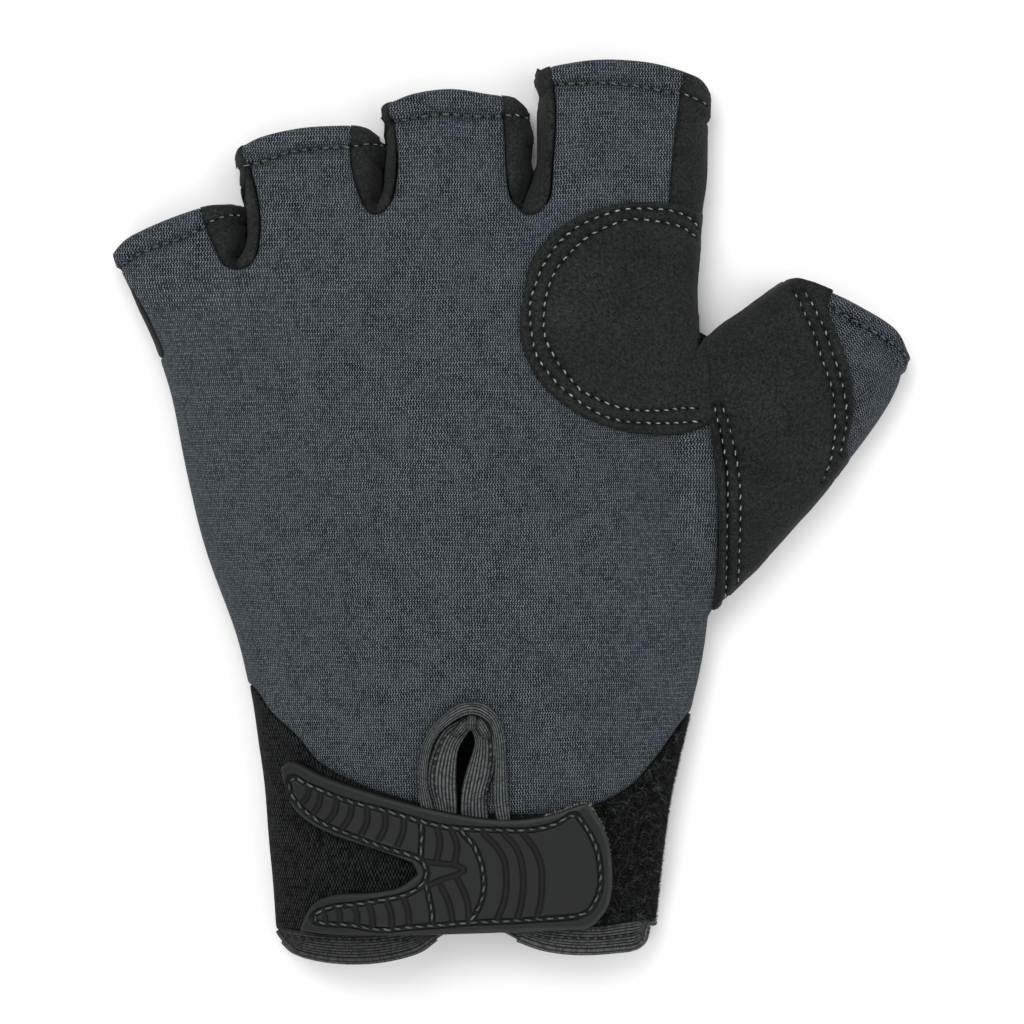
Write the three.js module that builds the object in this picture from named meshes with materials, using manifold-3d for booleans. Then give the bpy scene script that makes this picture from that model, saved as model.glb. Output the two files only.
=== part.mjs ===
// Half-finger paddling glove for the left hand, lying palm down.
// Millimetres. +X points to the thumb side, +Y to the fingers, +Z up, and the palm rests on z = 0.
//
// The glove is one hollow form: a body, four finger stalls and a thumb, each a tube lofted through
// sections that stand upright on the floor. The panels are that form's wall, cut along their seams
// as seen from above. The patches, tapes and strap are thinner layers that lie on it.

import * as THREE from "three";
import { mergeVertices } from "three/addons/utils/BufferGeometryUtils.js";
import Module from "manifold-3d";

const wasm = await Module();
wasm.setup();

// Driving dimensions
const WALL = 2.2; // lined knit and lined suede
const GAP = 0.3; // between pieces that meet edge to edge
const LIFT = 0.42; // from the wall up to what lies on it
const SEAM_HEIGHT = 4.6; // the back and the palm meet here, round the edge
const EDGE_RADIUS = 8; // round underside edge, seen across
const HEM_DEPTH = 4.2; // turned hem of a finger or thumb stall
const HEM_PROUD = 0.5;
const PATCH = 1.1; // suede of the sewn-on patches
const PATCH_FLOOR = 2.4; // lowest point of a patch that wraps the edge
const TAPE = 0.9; // elastic tape
const BINDING_PROUD = 0.7;
const STRAP_TOP = 3.1; // strap surface over the cuff
const PAD_RISE = 0.7; // raised pads and rim of the strap
const SLIT_FLOOR = 9; // the slit is cut through the upper wall only

// Steps of the lofted forms: across the upper side, round each underside edge, across the flat floor
const BODY_STEPS = { arch: 14, corner: 3, floor: 2, along: 1 };
const STALL_STEPS = { arch: 10, corner: 2, floor: 2, along: 1 };
const FLATNESS = 0.06; // facets that lie this near one plane are joined
const SAME_POINT = 0.01;
const ARCH_FULLNESS = 2.25; // 2 is an ellipse, more is squarer
const CLOSEST_POINTS = 0.25; // nearer points of a moved outline are dropped
const HIGH = 60; // above everything
const LOW = -20; // below everything

// Rows of numbers become objects with the named columns.
function table(columns, rows) {
  const names = columns.split(" ");
  return rows.map((row) => Object.fromEntries(names.map((name, i) => [name, row[i]])));
}

const SECTION = "leftX leftY rightX rightY height";
const SIDE_HEIGHT = 7; // height of the widest line of every section

const BODY = table(SECTION, [
  [-47.2, -94.0, 28.8, -94.0, 20.0],
  [-47.2, -82.6, 28.8, -82.6, 20.5],
  [-48.3, -68.6, 30.2, -68.6, 21.0],
  [-49.2, -57.6, 31.7, -57.6, 21.5],
  [-50.4, -47.6, 33.9, -47.6, 22.5],
  [-52.0, -37.6, 36.3, -37.6, 23.5],
  [-54.8, -25.6, 38.6, -25.6, 25.5],
  [-60.5, -9.6, 40.0, -9.6, 27.5],
  [-64.7, 6.4, 38.8, 6.4, 28.0],
  [-67.9, 22.4, 37.8, 22.4, 26.5],
  [-71.6, 33.8, 37.4, 34.6, 24.2],
  [-75.2, 41.6, 36.9, 46.4, 21.6],
  [-77.8, 48.0, 37.8, 58.0, 19.0],
  [-81.0, 60.0, 38.6, 74.0, 16.6],
]);

// Where the body ends between the stalls, seen from above: the crotches of the fingers lie on it.
const KNUCKLE_LINE = [[-90, 44], [-72, 48], [-56, 50.4], [-42, 55], [-27, 60], [-10, 63], [4, 64.4], [20, 67], [48, 70]];

const LITTLE = table(SECTION, [
  [-70.0, 33.0, -48.0, 37.0, 18.0],
  [-74.6, 41.2, -49.4, 50.2, 17.4],
  [-78.0, 47.6, -53.4, 56.6, 16.2],
  [-79.4, 51.4, -53.8, 61.2, 15.2],
  [-80.8, 56.0, -55.6, 66.4, 14.4],
]);

const RING = table(SECTION, [
  [-51.0, 38.0, -26.6, 41.4, 20.0],
  [-55.2, 50.0, -25.4, 55.0, 19.2],
  [-52.8, 57.6, -25.2, 61.2, 17.6],
  [-54.0, 64.8, -26.0, 68.4, 16.4],
  [-55.4, 70.6, -26.0, 74.0, 15.6],
  [-56.4, 76.4, -26.0, 79.6, 15.0],
]);

const MIDDLE = table(SECTION, [
  [-25.6, 42.0, 3.0, 43.6, 20.6],
  [-26.6, 57.6, 4.2, 59.0, 19.4],
  [-26.0, 63.4, 3.6, 64.6, 18.0],
  [-25.0, 72.4, 3.9, 72.4, 16.8],
  [-26.0, 79.8, 3.6, 79.4, 16.0],
  [-26.6, 86.0, 3.6, 85.0, 15.4],
]);

const INDEX = table(SECTION, [
  [4.0, 42.0, 36.4, 42.0, 20.0],
  [2.2, 59.8, 38.0, 59.0, 18.8],
  [4.6, 66.6, 39.0, 66.4, 18.0],
  [5.1, 77.0, 39.2, 75.4, 17.0],
  [4.8, 86.2, 39.4, 82.6, 16.2],
  [4.6, 92.4, 39.8, 88.0, 15.6],
]);

const THUMB = table(SECTION, [
  [12.0, 12.0, 30.0, -27.0, 19.0],
  [29.0, 24.6, 43.0, -17.0, 19.6],
  [38.4, 34.0, 55.8, -4.8, 20.0],
  [45.8, 38.8, 66.8, 7.4, 19.0],
  [52.8, 43.2, 76.4, 21.6, 17.6],
  [57.6, 46.4, 80.2, 32.2, 16.4],
  [63.0, 52.6, 83.8, 38.0, 15.6],
]);

// Where each stall ends, seen from above, left to right.
const LITTLE_TIP = [[-83, 50], [-79.2, 52.6], [-76, 55], [-70.4, 57.8], [-60.4, 61.3], [-55, 61.7], [-50, 61]];
const RING_TIP = [[-59, 70], [-55, 72.4], [-50.4, 74.8], [-42.4, 76.6], [-30.4, 77.1], [-26.6, 74.8], [-22, 71]];
const MIDDLE_TIP = [[-30, 79], [-26, 81], [-20.4, 83.6], [-12.4, 84.4], [-4.4, 83.3], [1.6, 82.3], [8, 76]];
const INDEX_TIP = [[0, 85.6], [4.8, 88.2], [9.6, 89.4], [17.6, 90.4], [27.6, 89.6], [37, 86.8], [44, 80]];
const THUMB_TIP = [[52, 47.6], [57.2, 46.2], [62, 44.9], [69.6, 41.2], [77.6, 36], [80, 32], [86, 24]];

// Shape helpers

// A smooth line through the points; steps counts the straight pieces between two of them.
function smooth(points, steps = 3) {
  const curve = new THREE.CatmullRomCurve3(
    points.map(([x, y]) => new THREE.Vector3(x, y, 0)),
    false,
    "centripetal",
  );
  return curve.getPoints((points.length - 1) * steps).map((p) => [p.x, p.y]);
}

// Area of a closed outline; positive when it runs anticlockwise.
function signedArea(outline) {
  return outline.reduce((sum, [x, y], i) => {
    const [nextX, nextY] = outline[(i + 1) % outline.length];
    return sum + (x * nextY - nextX * y) / 2;
  }, 0);
}

// The outline moved outwards by a distance, each corner along its mean normal.
function grown(outline, distance) {
  const turn = Math.sign(signedArea(outline));
  const count = outline.length;
  const moved = outline.map(([x, y], i) => {
    const [beforeX, beforeY] = outline[(i + count - 1) % count];
    const [afterX, afterY] = outline[(i + 1) % count];
    const normal = new THREE.Vector2(afterY - beforeY, beforeX - afterX).normalize();
    return [x + normal.x * distance * turn, y + normal.y * distance * turn];
  });
  return moved.filter(([x, y], i) => {
    const [beforeX, beforeY] = moved[(i + count - 1) % count];
    return Math.hypot(x - beforeX, y - beforeY) > CLOSEST_POINTS;
  });
}

// A closed mesh as a solid that can be cut and joined.
function solid(geometry) {
  geometry.deleteAttribute("normal");
  geometry.deleteAttribute("uv");
  const merged = mergeVertices(geometry, SAME_POINT);
  return new wasm.Manifold(
    new wasm.Mesh({
      numProp: 3,
      vertProperties: merged.attributes.position.array,
      triVerts: new Uint32Array(merged.index.array),
    }),
  );
}

// An upright prism on a plan outline.
function prism(outline, low = LOW, high = HIGH) {
  const shape = new THREE.Shape(outline.map(([x, y]) => new THREE.Vector2(x, y)));
  const geometry = new THREE.ExtrudeGeometry(shape, { depth: high - low, bevelEnabled: false });
  return solid(geometry.translate(0, 0, low));
}

// One section of a tube, as points round it, all moved outwards by grow.
function ring({ leftX, leftY, rightX, rightY, height }, grow, steps) {
  const left = new THREE.Vector2(leftX, leftY);
  const right = new THREE.Vector2(rightX, rightY);
  const middle = left.clone().add(right).multiplyScalar(0.5);
  const across = right.clone().sub(left);
  const half = across.length() / 2 + grow;
  across.normalize();
  const floor = -grow;
  const rise = height + grow - SIDE_HEIGHT;
  const points = [];
  const add = (u, z) => points.push(new THREE.Vector3(middle.x + across.x * u, middle.y + across.y * u, z));
  for (let i = 0; i <= steps.arch; i += 1) {
    const angle = (Math.PI * i) / steps.arch;
    const side = Math.sign(Math.cos(angle)) * Math.abs(Math.cos(angle)) ** (2 / ARCH_FULLNESS);
    add(half * side, SIDE_HEIGHT + rise * Math.sin(angle) ** (2 / ARCH_FULLNESS));
  }
  const edge = Math.min(EDGE_RADIUS, half * 0.6);
  const corner = (side, i) => {
    const angle = (Math.PI * i) / (2 * steps.corner);
    add(side * (half - edge + edge * Math.cos(angle)), SIDE_HEIGHT - (SIDE_HEIGHT - floor) * Math.sin(angle));
  };
  for (let i = 1; i <= steps.corner; i += 1) corner(-1, i);
  for (let i = 1; i < steps.floor; i += 1) add((half - edge) * ((2 * i) / steps.floor - 1), floor);
  for (let i = steps.corner; i >= 1; i -= 1) corner(1, i);
  return points;
}

// A closed tube lofted smoothly through the sections of a table.
function tube(rows, grow, steps = STALL_STEPS) {
  const curveOf = (vector) => new THREE.CatmullRomCurve3(rows.map(vector), false, "centripetal");
  const lefts = curveOf((row) => new THREE.Vector3(row.leftX, row.leftY, row.height));
  const rights = curveOf((row) => new THREE.Vector3(row.rightX, row.rightY, row.height));
  const count = (rows.length - 1) * steps.along;
  const rings = [];
  for (let i = 0; i <= count; i += 1) {
    const left = lefts.getPoint(i / count);
    const right = rights.getPoint(i / count);
    const height = (left.z + right.z) / 2;
    const section = { leftX: left.x, leftY: left.y, rightX: right.x, rightY: right.y, height };
    rings.push(ring(section, grow, steps));
  }
  const around = rings[0].length;
  const positions = rings.flat().flatMap((p) => [p.x, p.y, p.z]);
  const faces = [];
  for (let i = 0; i < count; i += 1) {
    for (let k = 0; k < around; k += 1) {
      const a = i * around + k;
      const b = i * around + ((k + 1) % around);
      faces.push(a, b, b + around, a, b + around, a + around);
    }
  }
  const cap = (points, first, flip) => {
    const centre = points.reduce((sum, p) => sum.add(p), new THREE.Vector3()).divideScalar(around);
    const hub = positions.length / 3;
    positions.push(centre.x, centre.y, centre.z);
    for (let k = 0; k < around; k += 1) {
      const a = first + k;
      const b = first + ((k + 1) % around);
      faces.push(hub, flip ? a : b, flip ? b : a);
    }
  };
  cap(rings[0], 0, false);
  cap(rings[count], count * around, true);
  const geometry = new THREE.BufferGeometry();
  geometry.setAttribute("position", new THREE.Float32BufferAttribute(positions, 3));
  geometry.setIndex(faces);
  const made = solid(geometry);
  if (made.volume() > 0) return made;
  for (let i = 0; i < faces.length; i += 3) [faces[i + 1], faces[i + 2]] = [faces[i + 2], faces[i + 1]];
  geometry.setIndex(faces);
  return solid(geometry);
}

const union = (solids) => solids.reduce((sum, next) => sum.add(next));

// The largest body of a solid: seam cuts can leave crumbs at corners.
function largest(cut) {
  return cut.decompose().reduce((best, next) => (next.volume() > best.volume() ? next : best));
}

// The glove's form

const aboveFloor = prism([[-120, -120], [120, -120], [120, 120], [-120, 120]], 0);

const STALLS = [
  { rows: LITTLE, tip: LITTLE_TIP, away: [-8, -40] },
  { rows: RING, tip: RING_TIP, away: [0, -44] },
  { rows: MIDDLE, tip: MIDDLE_TIP, away: [0, -44] },
  { rows: INDEX, tip: INDEX_TIP, away: [0, -50] },
  { rows: THUMB, tip: THUMB_TIP, away: [-52, -60] },
];

// The plan of a stall behind its tip: the tip line swept back towards the palm.
function behindTip({ tip, away }, from = 0, to = 1) {
  const line = smooth(tip);
  const moved = (part) => line.map(([x, y]) => [x + away[0] * part, y + away[1] * part]);
  return [...moved(from), ...moved(to).reverse()];
}

// Everything past the line where the body ends, moved with the wall.
function beyondKnuckles(grow) {
  const line = smooth(KNUCKLE_LINE, 2).map(([x, y]) => [x, y + grow]);
  return prism([...line, [60, 100], [-110, 100]]);
}

// The hem of a stall, which runs on past its tip.
function hem(stall, grow, depth = HEM_DEPTH) {
  const part = depth / Math.hypot(...stall.away);
  return tube(stall.rows, grow).intersect(prism(behindTip(stall, -part, part)));
}

// The last stretch of each stall is proud by hemProud.
function outerForm(grow, hemProud = 0) {
  const body = tube(BODY, grow, BODY_STEPS).intersect(prism(CUFF_PLAN)).subtract(beyondKnuckles(grow));
  const stalls = STALLS.map((stall) => {
    const plain = tube(stall.rows, grow);
    const whole = hemProud ? plain.add(hem(stall, grow + hemProud)) : plain;
    return whole.intersect(prism(behindTip(stall)));
  });
  return union([body, ...stalls]).intersect(aboveFloor);
}

function innerForm(grow) {
  const body = tube(BODY, grow, BODY_STEPS).subtract(beyondKnuckles(grow));
  return union([body, ...STALLS.map(({ rows }) => tube(rows, grow))]);
}

// Plan outlines of the cuff

// Lower edge of the cuff from left to right, with the notch between the two ends of the binding.
const CUFF_EDGE = [
  ...smooth([[-50, -82], [-46.6, -86], [-44, -88.6], [-37.4, -90.2], [-27.4, -90.2], [-18.4, -88], [-15, -85.6]], 2),
  ...smooth([[-13, -84.4], [-1.6, -84.4]], 1),
  ...smooth([[1, -85.8], [6, -87.6], [13, -88.6], [21, -88.3], [26, -87.2], [28, -84], [33, -81]], 2),
];
const CUFF_PLAN = [[-60, -82], ...CUFF_EDGE, [60, -81], [60, 80], [-100, 80]];

// Upper edge of the binding.
const BINDING_LINE = [
  ...smooth([[-56, -82.4], [-42.4, -84], [-32.4, -84.4], [-20, -83], [-13.6, -79.4], [-1.6, -79.4]], 2),
  ...smooth([[5, -82], [17, -82.8], [24, -82], [36, -81]], 2),
];
const BINDING_PLAN = [...BINDING_LINE, [60, -110], [-80, -110]];

// Lower edge of the back and the palm heel, where the cuff begins.
const HEEL_LINE = smooth([
  [-58, -32], [-52, -35], [-48.4, -40], [-43, -45], [-38.6, -50.2], [-31.4, -54.2], [-20, -58],
  [-5, -60.4], [8, -60.4], [16, -58.8], [23.6, -55], [29.6, -48.4], [35.6, -40.4], [42, -34],
], 2);
const CUFF_REGION = [...HEEL_LINE, [60, -34], [60, -110], [-80, -110], [-80, -32]];

// Edges of the slit from its round top down to the cuff edge.
const SLIT_LEFT = smooth([[-8.2, -43.2], [-10.6, -47.2], [-11.2, -53], [-11, -59.2], [-11.4, -67.6], [-13.4, -77.6], [-15.4, -88]]);
const SLIT_RIGHT = smooth([[-8.2, -43.2], [-7.4, -46], [-9, -51.6], [-10, -55.6], [-10.2, -60.8], [-8.8, -67.6], [-5.6, -77.6], [-1, -88]]);
const SLIT_PLAN = [...SLIT_LEFT, ...SLIT_RIGHT.slice(1).reverse()];

// Outer edges of the two tapes that bind the slit.
const TAPE_LEFT_EDGE = smooth([[-8.2, -40.8], [-13.4, -43.2], [-16.4, -49.2], [-17, -53.8], [-15.6, -59.2], [-16, -67.6], [-18, -80]]);
const TAPE_RIGHT_EDGE = smooth([[-8.2, -40.8], [-5, -41.8], [-3.4, -45.4], [-3.4, -51], [-4.8, -56], [-4.6, -62], [-2.6, -72], [0.6, -80]]);
const TAPE_LEFT_PLAN = [...TAPE_LEFT_EDGE, ...SLIT_LEFT.filter(([, y]) => y > -79).reverse()];
const TAPE_RIGHT_PLAN = [...TAPE_RIGHT_EDGE, ...SLIT_RIGHT.filter(([, y]) => y > -79).reverse()];

const ARCH_OUTER = smooth([
  [-16.8, -65], [-18.4, -58.6], [-18.8, -52], [-17.4, -45], [-14.2, -41], [-10.6, -38.4],
  [-6.8, -38], [-3.4, -40], [-1.6, -44], [-1, -51.6], [-0.6, -58], [0.2, -65],
]);
const ARCH_INNER = smooth([
  [-2, -65], [-3.6, -59], [-3.4, -48.6], [-4.4, -42.6], [-8, -40.5], [-12.4, -42.4], [-15.6, -46],
  [-17, -53.6], [-15.8, -59], [-14.4, -65],
]);
const ARCH_PLAN = [...ARCH_OUTER, ...ARCH_INNER];

// Plan outlines of the panels

const GUSSET_LITTLE_RING = [
  [-62.6, 64],
  ...smooth([[-62.4, 60.8], [-61.6, 58], [-60, 54.4], [-57.6, 49.6], [-55, 48.6], [-52, 50], [-50.6, 55.4], [-51, 62.6], [-54, 73]]),
  [-55, 77],
];
const GUSSET_RING_MIDDLE = [
  [-32.6, 80],
  ...smooth([[-32.2, 77], [-32.2, 70.4], [-30.6, 64], [-28.4, 59.8], [-26, 60], [-24.4, 62], [-23.2, 69], [-23.6, 75.6], [-24.8, 82]]),
  [-25, 87],
];
const GUSSET_MIDDLE_INDEX = [
  [-3, 86],
  ...smooth([[-2, 83], [-1.4, 76.4], [-1, 68.4], [0, 62.8], [2.4, 59.8], [5, 59.8], [7.2, 62.6], [8, 70], [8.6, 80], [7.8, 88.4]]),
  [7, 93],
  [1, 92],
];
const INDEX_SIDE = [[33.4, 94], [34, 86.4], [33, 77.4], [32.2, 70.4], [31.5, 61.8], [31, 54.8], [50, 54.8], [50, 94]];

// The seam where the thumb joins, from the crotch down.
const THUMB_SEAM = smooth([
  [36.4, 38], [38.2, 33.4], [39.4, 25], [40, 17.6], [41.2, 6], [41.4, -8], [40.8, -20], [39.6, -34],
]);
const THUMB_REGION = [...THUMB_SEAM, [60, -34], [100, 10], [100, 60], [60, 60], [45, 50]];

const BACK_REGION = [
  [-95, 30],
  ...smooth([[-76, 32], [-69.8, 30.8], [-71.8, 36.8], [-74.8, 42.2], [-77.6, 46.2], [-80, 49], [-88, 52]]),
  [-95, 60],
  [-60, 100],
  [50, 100],
  [50, 45],
  ...THUMB_SEAM,
  [60, -34],
  ...[...HEEL_LINE].reverse(),
  [-95, -32],
];

// Plan outlines of the patches

const KNUCKLE_PATCH = [
  ...smooth([
    [44, 61], [38, 59.8], [33.6, 61.4], [24, 62], [15.6, 60.2], [9.6, 57], [4, 50.8], [2.2, 43], [1.6, 37],
    [3.2, 30.6], [7.6, 24.2], [14.6, 19.2], [23.6, 16.2], [32.6, 15.6], [38.4, 17.4],
  ], 2),
  ...smooth([[38.8, 20], [38.6, 24], [37.6, 30], [36.4, 36], [44, 42]], 2),
];

const THUMB_PATCH = [
  ...smooth([
    [36.8, 38], [38.6, 33], [39.7, 25], [39.9, 17], [41, 7], [41.6, -8], [41, -17], [40.4, -22],
  ], 2),
  ...smooth([[56, -24], [70, 8], [67.4, 12], [68.6, 20], [67.4, 29.4], [64.2, 38], [61, 45]], 3),
  [60, 56],
  [44, 50],
];

// Plan outlines of the strap

const STRAP_TOP_EDGE = smooth([
  [-46.4, -51.2], [-44.6, -50], [-38.4, -52.8], [-30.4, -55.6], [-18.4, -59], [-6.4, -61.3], [1.6, -61.6],
  [8.6, -60.4], [12.6, -59], [14.8, -58.4], [17, -60.8], [19.2, -65.2], [20.2, -73.6], [19.2, -79.2], [16.6, -82.6],
]);
const STRAP_LOWER_EDGE = smooth([
  [14.6, -83.6], [3.6, -84], [-8.4, -84.4], [-24.4, -84.8], [-36, -84.6], [-42.6, -83.8],
]);
const STRAP_FORK = [
  ...smooth([[-42.2, -82.6], [-40.2, -78.8], [-36.4, -76.8], [-27.4, -76.1], [-22.4, -75], [-18.8, -72.4]]),
  ...smooth([[-20, -70.2], [-26.4, -67.8], [-35.4, -64.8], [-40.8, -62], [-44.4, -58.4], [-46, -53.6]]),
];
const STRAP_PLAN = [...STRAP_TOP_EDGE, ...STRAP_LOWER_EDGE, ...STRAP_FORK];

// The sunken field inside the strap's raised rim.
const STRAP_FIELD = [
  ...smooth([
    [-44.4, -53.2], [-41.2, -54.4], [-33.4, -57.6], [-23.4, -60.3], [-13.4, -63], [-2.4, -63.6],
    [7.6, -62.8], [12.6, -60.4], [14.6, -62.8], [17, -67.6], [17.6, -73.6], [16.6, -78], [14.4, -80.4],
  ], 2),
  ...smooth([[6.6, -81.4], [-7.4, -82.1], [-19.4, -83], [-32.4, -82.6], [-40, -81.4]], 2),
  ...smooth([[-35, -78.8], [-26, -77.6], [-18.4, -75], [-17, -72], [-19.8, -68.8], [-29.2, -65.8], [-38, -62.2], [-43.4, -57.6]], 2),
];
const HOOK_TAB = [[6, -61.6], [14, -58.6], [17.6, -60.2], [20.2, -66], [20.6, -74], [19.6, -79], [16, -82.4], [6, -82.8]];

// Raised crescents of the strap: each is a band between two arcs that stand across it.
const CRESCENT = "topX topY bulgeX bulgeY bottomX bottomY width";
const CRESCENTS = table(CRESCENT, [
  [-43.6, -54.4, -42.8, -56.4, -43.6, -58.4, 3.0],
  [-39.6, -55.6, -39.0, -58.2, -40.2, -60.8, 3.0],
  [-36.0, -57.2, -35.4, -59.8, -36.6, -62.6, 2.6],
  [-32.8, -58.2, -32.2, -60.8, -33.4, -63.8, 2.6],
  [-29.4, -59.4, -28.8, -62.0, -30.2, -65.2, 2.6],
  [-26.0, -60.4, -25.4, -63.0, -26.8, -66.2, 2.6],
  [-22.6, -61.6, -22.0, -64.4, -23.4, -67.6, 2.6],
  [-37.6, -79.6, -37.0, -80.8, -36.8, -82.4, 2.2],
  [-34.4, -79.0, -33.6, -80.6, -33.2, -82.8, 2.2],
  [-31.2, -78.8, -30.4, -80.6, -29.8, -83.0, 2.2],
  [-27.6, -78.8, -26.8, -80.8, -26.2, -83.0, 2.4],
  [-24.0, -78.4, -23.0, -80.6, -22.4, -83.0, 2.4],
  [-4.6, -65.0, -1.8, -72.8, -4.4, -81.4, 2.0],
  [-1.0, -65.0, 1.8, -72.8, -0.4, -81.4, 2.2],
  [2.6, -64.9, 4.8, -73.0, 3.4, -81.3, 2.2],
]);
const PADS = [
  [[-17.2, -63.8], [-14.4, -64.4], [-14.6, -69.4], [-17.8, -69.2]],
  [[-13.8, -64], [-11.4, -65.4], [-11, -69.6], [-13.6, -69.4]],
  [[-17.2, -70.4], [-10, -71.6], [-8.8, -72.2], [-10, -72.8], [-17, -74.4]],
  [[-10.6, -66], [-7.2, -70], [-6.6, -74], [-8.4, -80.6], [-10.4, -74]],
  [[-16.4, -75.2], [-14.8, -75.4], [-12.8, -81], [-15, -82]],
  [[-13.6, -74.6], [-11.6, -74.8], [-9.6, -80.6], [-11.6, -81]],
  [[-20.4, -77.6], [-18.6, -76.2], [-17, -79], [-16.8, -82], [-19.2, -82.4]],
  [[6, -64.6], [12, -63.2], [15.4, -66.4], [16.8, -73.6], [14.4, -80.2], [7.4, -81.4], [8, -73]],
];

function crescent({ topX, topY, bulgeX, bulgeY, bottomX, bottomY, width }) {
  const arc = [[topX, topY], [bulgeX, bulgeY], [bottomX, bottomY]];
  const side = (offset) => arc.map(([x, y]) => [x + offset, y]);
  return [...side(-width / 2), ...side(width / 2).reverse()];
}

// Forms shared by the pieces

const outer = outerForm(0);
const shell = outerForm(0, HEM_PROUD).subtract(innerForm(-WALL));
const hemsGrown = union(STALLS.map((stall) => hem(stall, HEM_PROUD + LIFT, HEM_DEPTH + LIFT)));
const slit = prism(SLIT_PLAN, SLIT_FLOOR);

// A layer that lies on the form from one height above it to another.
const forms = new Map([[0, outer]]);
function form(grow) {
  if (!forms.has(grow)) forms.set(grow, outerForm(grow));
  return forms.get(grow);
}
const layer = (from, to) => form(to).subtract(form(from));

const upper = (outline, grow = 0) => {
  const plan = grow ? grown(outline, grow) : outline;
  return prism(plan, SEAM_HEIGHT - grow + GAP / 2);
};
const gussets = [GUSSET_LITTLE_RING, GUSSET_RING_MIDDLE, GUSSET_MIDDLE_INDEX, INDEX_SIDE];
const allGussets = union(gussets.map((outline) => upper(outline, GAP)));
const cuffRegion = prism(CUFF_REGION);
const cuffGrown = prism(grown(CUFF_REGION, GAP));
const bindingRegion = prism(BINDING_PLAN);
const bindingGrown = prism(grown(BINDING_PLAN, GAP));
const tapesGrown = prism(grown([...TAPE_LEFT_EDGE, ...[...TAPE_RIGHT_EDGE].reverse().slice(0, -1)], GAP), SLIT_FLOOR);

// Pieces

function backPanel() {
  const wall = shell.intersect(upper(BACK_REGION)).subtract(allGussets).subtract(upper(THUMB_REGION, GAP));
  return wall.subtract(cuffGrown).subtract(tapesGrown).subtract(slit);
}

function palmPanel() {
  const seam = prism(grown(BACK_REGION, GAP), SEAM_HEIGHT - GAP / 2);
  const thumb = prism(grown(THUMB_REGION, GAP), SEAM_HEIGHT - GAP / 2);
  const sides = union(gussets.map((outline) => prism(grown(outline, GAP), SEAM_HEIGHT - GAP / 2)));
  return shell.subtract(seam).subtract(thumb).subtract(sides).subtract(cuffGrown);
}

function gusset(outline) {
  return shell.intersect(upper(outline));
}

function thumbStall() {
  return shell.intersect(upper(THUMB_REGION)).subtract(cuffGrown);
}

function patch(outline) {
  return layer(LIFT, LIFT + PATCH).intersect(prism(outline, PATCH_FLOOR)).subtract(hemsGrown);
}

const LOOP_EDGE_X = -9;
const LOOP_FLOOR = 3;
const loopRegion = prism([[LOOP_EDGE_X, -20], [60, -20], [60, -110], [LOOP_EDGE_X, -110]], LOOP_FLOOR);
const loopGrown = prism(
  [[LOOP_EDGE_X - GAP, -20], [60, -20], [60, -110], [LOOP_EDGE_X - GAP, -110]],
  LOOP_FLOOR - GAP,
);

function cuffWall() {
  return shell.intersect(cuffRegion).subtract(bindingGrown).subtract(tapesGrown).subtract(slit);
}

function wristBinding() {
  const band = outerForm(BINDING_PROUD).subtract(innerForm(-WALL - TAPE / 2));
  return band.intersect(bindingRegion).subtract(slit);
}

function slitTape(outline) {
  return form(BINDING_PROUD).subtract(innerForm(-WALL)).intersect(prism(outline, SLIT_FLOOR)).subtract(bindingGrown);
}

const archFloor = BINDING_PROUD + LIFT;
const archTop = archFloor + TAPE;

function keyholeArch() {
  return layer(archFloor, archTop).intersect(prism(ARCH_PLAN, SLIT_FLOOR));
}

function strap() {
  const base = layer(LIFT, STRAP_TOP).intersect(prism(STRAP_PLAN));
  const relief = layer(STRAP_TOP - GAP, STRAP_TOP + PAD_RISE);
  const raised = union([...CRESCENTS.map(crescent), ...PADS].map((outline) => prism(outline)));
  const rim = prism(STRAP_PLAN).subtract(prism(STRAP_FIELD));
  const bed = form(BINDING_PROUD + LIFT).intersect(
    prism(grown([...TAPE_LEFT_EDGE, ...[...TAPE_RIGHT_EDGE].reverse().slice(0, -1)], GAP)),
  );
  const archBed = form(archTop + LIFT).intersect(prism(grown(ARCH_OUTER, GAP)));
  const tabBed = form(LIFT + TAPE + LIFT).intersect(prism(grown(HOOK_TAB, GAP)));
  const bindingBed = form(BINDING_PROUD + LIFT).intersect(bindingGrown);
  return base.add(relief.intersect(raised.add(rim))).subtract(union([bed, archBed, tabBed, bindingBed]));
}

// Clear of the binding below it.
function hookTab() {
  return layer(LIFT, LIFT + TAPE).intersect(prism(HOOK_TAB)).subtract(bindingGrown);
}

// Materials

const finish = (color, roughness) => ({ color, roughness, metalness: 0 });
const GREY_KNIT = finish("#4a4f59", 0.9);
const BLACK_SUEDE = finish("#202020", 0.85);
const BLACK_KNIT = finish("#1d1e20", 0.95);
const LOOP_FABRIC = finish("#141414", 1.0);
const ELASTIC = finish("#4c4f52", 0.8);
const RUBBER = finish("#333434", 0.55);

const glove = new THREE.Group();

function geometryOf(made) {
  const mesh = made.getMesh();
  const geometry = new THREE.BufferGeometry();
  const width = mesh.numProp;
  const positions = new Float32Array(mesh.numVert * 3);
  for (let i = 0; i < mesh.numVert; i += 1) {
    positions.set(mesh.vertProperties.subarray(i * width, i * width + 3), i * 3);
  }
  geometry.setAttribute("position", new THREE.BufferAttribute(positions, 3));
  geometry.setIndex(new THREE.BufferAttribute(mesh.triVerts, 1));
  return geometry;
}

// One clean body: nearly flat facets joined, and points that almost meet made one.
function cleaned(made) {
  return largest(solid(geometryOf(largest(made.simplify(FLATNESS)))));
}

function addPiece(name, made, look) {
  const geometry = geometryOf(cleaned(cleaned(made)));
  geometry.computeVertexNormals();
  const piece = new THREE.Mesh(geometry, new THREE.MeshStandardMaterial(look));
  piece.name = name;
  glove.add(piece);
}

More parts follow.
